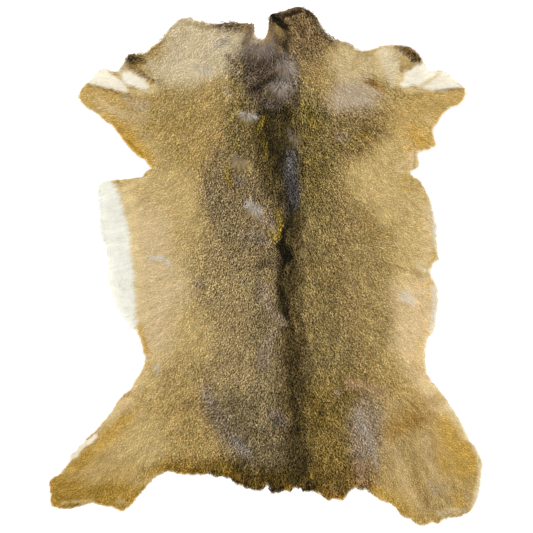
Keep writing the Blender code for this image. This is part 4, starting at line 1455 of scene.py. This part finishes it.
@dataclass
class Coat:
    """The coat: hairs that lie in locks, each lock a fleck, in bands from the rump to the neck."""

    form: HideForm
    pattern: CoatPattern
    skin: Skin
    # one hair, with the share of its length where it is widest and where its colour shows
    length: float = 20.0
    length_varies: float = 0.05
    width: float = 1.2
    width_varies: float = 0.2
    bend_at: float = 0.45
    shown_at: float = 0.75
    # the roots: how far apart they are, how far below the skin's top, and how far from its edge
    spacing: float = 1.36
    root_below: float = 0.4
    root_inside: float = 0.4
    # where the hair is shorter, as x, y and reach, and how much: on the legs and at the slit in the neck
    legs: tuple[tuple[float, float, float], ...] = (
        (-400, 390, 110), (430, 400, 110), (-450, -500, 120), (440, -500, 110),
    )
    leg_shorter: float = 0.3
    slit_hair: tuple[float, float, float] = (-12, 530, 45)
    slit_shorter: float = 0.45
    # the locks: how far apart and how uneven they are, where one stands in its cell, how many are drawn
    # each way, how many cells off a hair looks for its own, how many degrees each turns, and how far its
    # tips gather
    lock_spacing: float = 1.8
    lock_jitter: float = 0.7
    lock_start: float = 0.25
    lock_table: int = 256
    cells_beside: int = 2
    lock_turn: float = 48.0
    clump: float = 0.7
    # how much of a lock's turn and roll, gathering and lift is left where the coat is plain
    plain_turn: float = 0.3
    plain_clump: float = 0.4
    plain_lift: float = 0.35
    # how pale the band of a lock's outer hairs still is
    core_least: float = 0.4
    # how much of a hair's chance and lift it shares with its lock
    shared: float = 0.7
    # how deep the coat is at least, and the lowest tips, the plain ones and the bends as shares of that
    depth_least: float = 0.8
    lift_least: float = 0.6
    lift_plain: float = 0.7
    bend_height: float = 0.75
    # how much a parting takes from the bend's height, the roll and the streaks, and the least that counts
    parted_bend: float = 0.35
    parted_roll: float = 0.8
    parted_streak: float = 0.6
    parted_least: float = 0.02
    # how far past the outline the tips reach, how ragged that is, and more so at the rump
    overhang: tuple[float, float] = (-2.0, 3.5)
    overhang_least: float = -3.0
    ragged: float = 2.5
    ragged_over: float = 9.0
    rump_ragged: float = 6.0
    # the rump: the y that it starts below, its middle x, its half width, and how softly it ends
    rump: tuple[float, float, float] = (-400, 40, 220)
    rump_soft: float = 60.0
    # the shares of its length that a hair is cut to at the outline
    cut_least: float = 0.15
    cut_step: float = 0.05
    # how the hair turns outward near the edge, and in tufts where it grows inward
    splay: float = 1.7
    splay_within: float = 8.0
    splay_inflow: float = 0.5
    tuft: float = 2.6
    tuft_contrast: float = 1.5
    # how far a hair rolls about its own length in degrees, and its lock's tint from warm to cool
    roll: float = 28.0
    tint: tuple[float, float, float] = (0.05, 0.0, -0.25)
    # how far along the lie a hair may take its colour from, and its own part in that
    streak: float = 7.0
    own_streak: float = 0.6
    # the painted light and shade of the ridges round the slit in the neck
    slit: tuple[float, float] = (-13.0, 539.0)
    ridge: float = 7.5
    ridge_shade_depth: float = 0.4
    ridge_wander: float = 2.0
    ridge_wander_over: float = 30.0
    ridges_within: float = 50.0
    seed: int = 5
    random: np.random.Generator = field(init=False)

    def __post_init__(self) -> None:
        """Seeds the coat's chance."""
        self.random = np.random.default_rng(self.seed)

    def _roots(self) -> np.ndarray:
        """Roots the hairs on a jittered lattice, inside the skin's own edge.

        Returns:
            One row of x and y for each hair, in millimetres.
        """
        low, high = self.form.low, self.form.high
        columns, rows = np.arange(low[0], high[0], self.spacing), np.arange(low[1], high[1], self.spacing)
        roots = np.stack(np.meshgrid(columns, rows), axis=-1).reshape(-1, 2)
        roots = roots + self.random.uniform(-0.5, 0.5, roots.shape) * self.spacing
        roots = roots[self.form.read(self.form.inward, roots) > self.root_inside]
        return roots[self.form.read(self.form.inward, roots) > self.skin.inset(roots) + self.root_inside]

    def _lie(self, places: np.ndarray) -> np.ndarray:
        """The lie of the hair, which falls outward over the cut edge, or in part where it grows inward.

        Args:
            places: One row of x and y for each place, in millimetres.

        Returns:
            One arrow for each place, one long.
        """
        lie, outward = self.pattern.lie(places), self.form.outward(places)
        near = eased(1 - self.form.read(self.form.inward, places) / self.splay_within)
        outflow = (lie * outward).sum(axis=1)
        tufts = eased(0.5 + self.tuft_contrast * Mottle(Seed.TUFTS, self.tuft)(places))
        near *= np.maximum(eased((outflow + self.splay_inflow) / self.splay_inflow), tufts)
        return unit(lie + outward * near[:, None] * self.splay)

    def _ridges(self, places: np.ndarray) -> np.ndarray:
        """Painted light and shade for the ridges round the slit in the neck: how much lighter or darker the
        hair is made there.

        Args:
            places: One row of x and y for each place, in millimetres.

        Returns:
            One factor for each place, about 1.
        """
        away = np.linalg.norm(places - self.slit, axis=1)
        wander = self.ridge_wander * Mottle(Seed.RIDGES, self.ridge_wander_over)(places)
        wave = np.sin(2 * np.pi * away / self.ridge + wander)
        return 1 + self.ridge_shade_depth * wave * np.exp(-((away / self.ridges_within) ** 4))

    def _locks(self, roots: np.ndarray) -> Locks:
        """Gathers the hairs into locks, each hair into the one whose middle is nearest.

        Args:
            roots: Where the hairs are rooted.

        Returns:
            The lock of each hair.
        """
        size, shared = self.lock_table, len(Locks._fields) - 1
        table = np.random.default_rng(self.seed + 1).uniform(0, 1, (size, size, 2 + shared))
        beside = range(-self.cells_beside, self.cells_beside + 1)
        cell = np.floor(roots / self.lock_spacing).astype(int)
        best = np.full(len(roots), np.inf)
        middle, chances = np.zeros_like(roots), np.zeros((len(roots), shared))
        for i, j in product(beside, repeat=2):
            near = cell + (i, j)
            drawn = table[near[:, 0] % size, near[:, 1] % size]
            staggered = np.stack((near[:, 1] % 2 * 0.5, np.zeros(len(near))), axis=1)
            jitter = self.lock_start + self.lock_jitter * (drawn[:, :2] - 0.5)
            spot = (near + staggered + jitter) * self.lock_spacing
            away = ((roots - spot) ** 2).sum(axis=1)
            better = away < best
            best = np.where(better, away, best)
            middle[better] = spot[better]
            chances[better] = drawn[better, 2:]
        return Locks(middle, *chances.T)

    def _lengths(self, roots: np.ndarray, locks: Locks) -> np.ndarray:
        """How long the hairs are: shorter on the legs and at the slit in the neck.

        Args:
            roots: Where the hairs are rooted.
            locks: The lock of each.

        Returns:
            One length for each hair, in millimetres.
        """
        short = sum(nearness(roots, (x, y), reach) for x, y, reach in self.legs)
        x, y, reach = self.slit_hair
        length = self.length * (1 - self.leg_shorter * np.clip(short, 0, 1))
        length *= 1 - self.slit_shorter * nearness(roots, (x, y), reach)
        length *= 1 + self.length_varies * (2 * locks.chance - 1)
        return length * (1 + self.length_varies * self.random.uniform(-1, 1, len(roots)))

    def _overhangs(self, roots: np.ndarray, locks: Locks) -> np.ndarray:
        """How far past the outline the hairs may reach, in ragged tufts.

        Args:
            roots: Where the hairs are rooted.
            locks: The lock of each.

        Returns:
            One distance for each hair, in millimetres, less than 0 inside the outline.
        """
        top, middle, half = self.rump
        rump = eased((top - roots[:, 1]) / self.rump_soft)
        rump *= eased((half - np.abs(roots[:, 0] - middle)) / self.rump_soft)
        over = self.overhang[0] + (self.overhang[1] - self.overhang[0]) * locks.chance
        over += (self.ragged + self.rump_ragged * rump) * Mottle(Seed.FRINGE, self.ragged_over)(roots)
        return np.maximum(over, self.overhang_least)

    def _within(self, roots: np.ndarray, reach: np.ndarray, over: np.ndarray) -> np.ndarray:
        """Shortens the hairs that would reach too far past the outline.

        Args:
            roots: Where the hairs are rooted.
            reach: From each root to its tip.
            over: How far past the outline each may reach.

        Returns:
            The same, shortened.
        """
        share = np.full(len(roots), self.cut_least)
        for part in np.arange(self.cut_least + self.cut_step, 1 + self.cut_step / 2, self.cut_step):
            inward = self.form.read(self.form.inward, roots + reach * part)
            share = np.where(inward > -over, part, share)
        return reach * share[:, None]

    def _height(self, places: np.ndarray, share: np.ndarray | float) -> np.ndarray:
        """The height at which hair passes over each place.

        Args:
            places: One row of x and y for each place, in millimetres.
            share: How high it is, as a share of the coat's depth.

        Returns:
            One height for each place, in millimetres.
        """
        top = self.form.read(self.form.under, places) + self.skin.thickness
        depth = self.form.read(self.form.depth, places) - self.skin.thickness
        return top + np.maximum(depth, self.depth_least) * share

    def _lifts(self, locks: Locks, flecked: np.ndarray) -> np.ndarray:
        """How high the hairs' tips lie.

        Args:
            locks: The lock of each hair.
            flecked: How strongly the coat is flecked there.

        Returns:
            One share of the coat's depth for each hair.
        """
        own = self.random.uniform(0, 1, len(flecked))
        lifts = self.shared * locks.height + (1 - self.shared) * own
        lifts = self.lift_plain + (lifts - self.lift_plain) * with_flecks(self.plain_lift, flecked)
        return self.lift_least + (1 - self.lift_least) * lifts

    def _sides(self, heading: np.ndarray, flecked: np.ndarray, parted: np.ndarray) -> np.ndarray:
        """Which way the hairs' width runs: crosswise, and rolled a little.

        Args:
            heading: The direction that each hair ends in.
            flecked: How strongly the coat is flecked there.
            parted: How far the hair stands open there.

        Returns:
            One arrow for each hair, one long.
        """
        roll = np.radians(self.roll) * self.random.uniform(-1, 1, len(heading))
        roll *= with_flecks(self.plain_turn, flecked) * (1 - self.parted_roll * parted)
        return np.stack((-heading[:, 1] * np.cos(roll), heading[:, 0] * np.cos(roll), np.sin(roll)), axis=1)

    def _shades(
        self,
        closed: tuple[np.ndarray, np.ndarray],
        shown: np.ndarray,
        corners: tuple[np.ndarray, ...],
        parted: np.ndarray,
    ) -> list[tuple[np.ndarray, np.ndarray]]:
        """The colours of the hairs' corners, which differ along a hair only where the coat stands open.

        Args:
            closed: The pale and the dark colours where it doesn't.
            shown: Where each hair takes its colour from.
            corners: The places of the roots, bends and tips.
            parted: How far the hair stands open.

        Returns:
            The pale and the dark colours at the roots, bends and tips.
        """
        opened = parted > self.parted_least
        share = np.minimum(2 * parted[opened], 1)[:, None]
        # painted light and shade of the ridges round the slit in the neck
        ridge_shaded = self._ridges(corners[-1][opened])[:, None]
        shades = []
        for places in corners:
            seen = shown[opened] + (places[opened] - shown[opened]) * share
            both = [colours.copy() for colours in closed]
            for colours, parted_colours in zip(both, self.pattern.tones(seen)):
                colours[opened] = parted_colours * ridge_shaded
            shades.append(self.pattern.apart(*both))
        return shades

    def grow(self) -> Hairs:
        """Grows all of the coat's hairs.

        Returns:
            The hairs.
        """
        roots = self._roots()
        count = len(roots)
        lie = self._lie(roots)
        locks = self._locks(roots)
        length = self._lengths(roots, locks)[:, None]
        over = self._overhangs(roots, locks)
        own_streak = self.own_streak * self.random.uniform(0, 1, count)
        streak = self.streak * (locks.along + own_streak - (1 + self.own_streak) / 2)
        shown = self.shown_at * self._within(roots, lie * length, over) + (roots + lie * streak[:, None])
        pale, gap = self.pattern.tones(shown)
        parted = self.pattern.open_at(roots)
        flecked = self.pattern.flecked(pale, gap, parted)
        lock_lie = self._lie(locks.middle)
        own_tips = roots + lie * length
        lock_tips = locks.middle + lock_lie * length
        clump = self.clump * with_flecks(self.plain_clump, flecked)[:, None]
        reach = self._within(roots, own_tips + (lock_tips - own_tips) * clump - roots, over)
        turn = np.radians(self.lock_turn) * (2 * locks.turn - 1) * with_flecks(self.plain_turn, flecked)
        last = turned(reach, turn)
        tips = roots + reach
        bends = tips - last * (1 - self.bend_at)
        lifts = self._lifts(locks, flecked)
        sides = self._sides(unit(last), flecked, parted)
        chance = self.shared * locks.chance + (1 - self.shared) * self.random.uniform(0, 1, count)
        offset = roots - locks.middle
        off_axis = np.abs(offset[:, 0] * lock_lie[:, 1] - offset[:, 1] * lock_lie[:, 0])
        tint = 1 + (flecked * (2 * locks.warmth - 1))[:, None] * self.tint
        brushed = self.pattern.brushed(shown, lie, (pale + gap) / 2)
        tint *= (1 + (brushed - 1) * (1 - self.parted_streak * parted))[:, None]
        shades = self._shades((pale, gap), shown, (roots, bends, tips), parted)
        widths = self.random.uniform(1 - self.width_varies, 1 + self.width_varies, count)
        bent = self.bend_height * lifts * (1 - self.parted_bend * parted)
        return Hairs(
            root=np.column_stack((roots, self._height(roots, 0) - self.root_below)),
            bend=np.column_stack((bends, self._height(bends, bent))),
            tip=np.column_stack((tips, self._height(tips, lifts))),
            side=sides * (self.width / 2) * widths[:, None],
            pale=np.clip(np.stack([pale * tint for pale, _ in shades], axis=1), 0, 1),
            gap=np.clip(np.stack([gap * tint for _, gap in shades], axis=1), 0, 1),
            flecked=flecked,
            parted=parted,
            core=1 - (1 - self.core_least) * eased(off_axis / (self.lock_spacing / 2)),
            chance=np.clip(chance, 0, 1),
        )

    def _mesh(self, name: str, hairs: Hairs) -> bpy.types.Mesh:
        """Makes one mesh of separate hairs, each a blade of two triangles that is widest at its bend.

        Args:
            name: The mesh's.
            hairs: The hairs.

        Returns:
            The mesh, with what the hairs carry.
        """
        corners = (hairs.root, hairs.bend - hairs.side, hairs.bend + hairs.side, hairs.tip)
        vertices = np.stack(corners, axis=1).reshape(-1, 3) * MM
        blade = np.array(((0, 1, 2), (2, 1, 3)))
        count = len(hairs.root)
        faces = (np.arange(count)[:, None, None] * len(corners) + blade).reshape(-1, 3)
        mesh = bpy.data.meshes.new(name)
        mesh.from_pydata(vertices.tolist(), [], faces.tolist())
        for carried in ("pale", "gap"):
            put(mesh, carried, getattr(hairs, carried)[:, (0, 1, 1, 2)].reshape(-1, 3))
        for carried in ("flecked", "parted", "core", "chance"):
            put(mesh, carried, np.repeat(getattr(hairs, carried), len(corners), axis=0))
        put(mesh, "along", np.tile((0, self.bend_at, self.bend_at, 1.0), count))
        put(mesh, "across", np.tile((0.0, -1.0, 1.0, 0.0), count))
        low, high = vertices[:, :2].min(axis=0), vertices[:, :2].max(axis=0)
        spots = (vertices[faces.reshape(-1), :2] - low) / (high - low)
        mesh.uv_layers.new(name="OFBake").data.foreach_set("uv", spots.reshape(-1))
        mesh.shade_smooth()
        return mesh

    def build(self) -> list[bpy.types.Object]:
        """Builds the coat.

        Returns:
            Its bands, as separate pieces.
        """
        hairs = self.grow()
        order = np.argsort(hairs.root[:, 1], kind="stable")
        finish = CoatFinish().material()
        pieces = []
        for band, chosen in zip(Band, np.array_split(order, len(Band))):
            mesh = self._mesh(band.value, hairs.only(chosen))
            mesh.materials.append(finish)
            pieces.append(show(band.value, mesh))
        return pieces


# The studio


@dataclass(frozen=True)
class Lamp:
    """A soft square light: where it hangs, its size and its power in watts."""

    name: str
    place: tuple[float, float, float]
    size: float
    power: float

    def hang(self) -> None:
        """Hangs the light, facing the middle of the hide."""
        light = bpy.data.lights.new(self.name, "AREA")
        light.size = self.size
        light.energy = self.power
        lamp = show(self.name, light)
        lamp.location = self.place
        lamp.rotation_euler = (-Vector(self.place)).to_track_quat("-Z", "Y").to_euler()


@dataclass(frozen=True)
class Studio:
    """A pale floor, soft light from all round and a camera that looks straight down."""

    lamps: tuple[Lamp, ...] = (
        Lamp("key_light", (-1.6, 1.7, 2.6), 1.8, 40.0),
        Lamp("fill_light", (1.9, -1.2, 2.4), 2.2, 27.0),
    )
    surround: float = 1.15
    floor_size: float = 8.0
    floor_parts: int = 4
    # the camera: its lens and sensor in millimetres, then what it sees in metres
    lens: float = 85.0
    sensor: float = 36.0
    sees_to: float = 50.0
    frame_width: float = 1.226
    off_centre: tuple[float, float] = (0.0016, -0.0007)
    focus_height: float = 0.006

    def build(self) -> None:
        """Lays the floor, hangs the lights and sets up the camera."""
        scene = bpy.context.scene
        scene.view_settings.view_transform = "Standard"
        world = bpy.data.worlds.new("surround")
        world.use_nodes = True
        world.node_tree.nodes["Background"].inputs["Color"].default_value = rgba((1, 1, 1))
        world.node_tree.nodes["Background"].inputs["Strength"].default_value = self.surround
        scene.world = world
        for lamp in self.lamps:
            lamp.hang()
        self._lay_floor()
        self._set_camera()

    def _lay_floor(self) -> None:
        """Lays the floor under the hide."""
        work = bmesh.new()
        parts = self.floor_parts
        bmesh.ops.create_grid(work, x_segments=parts, y_segments=parts, size=self.floor_size)
        mesh = bpy.data.meshes.new("floor")
        work.to_mesh(mesh)
        work.free()
        mesh.materials.append(FloorFinish().material())
        show("floor", mesh)

    def _set_camera(self) -> None:
        """Sets the camera over the hide, at the height that fills the frame."""
        camera = bpy.data.cameras.new("camera")
        camera.lens = self.lens
        camera.sensor_width = self.sensor
        camera.clip_end = self.sees_to
        eye = show("camera", camera)
        eye.location = (*self.off_centre, self.frame_width * self.lens / self.sensor + self.focus_height)
        bpy.context.scene.camera = eye


def main() -> None:
    """Builds the studio, the skin and the coat, and says what each piece is to the frame."""
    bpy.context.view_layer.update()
    Studio().build()
    form, pattern = HideForm(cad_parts["hide"]), CoatPattern()
    skin = Skin(form, pattern)
    leather = skin.build()
    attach(leather, "root")
    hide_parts("hide")
    coat = Coat(form, pattern, skin).build()
    for band in coat:
        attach(band, "root")
    for piece in (leather, *coat):
        log.info("%s: %d faces", piece.name, len(piece.data.polygons))


if __name__ == "__main__":
    logging.basicConfig(level=logging.INFO, format="%(message)s")
    main()
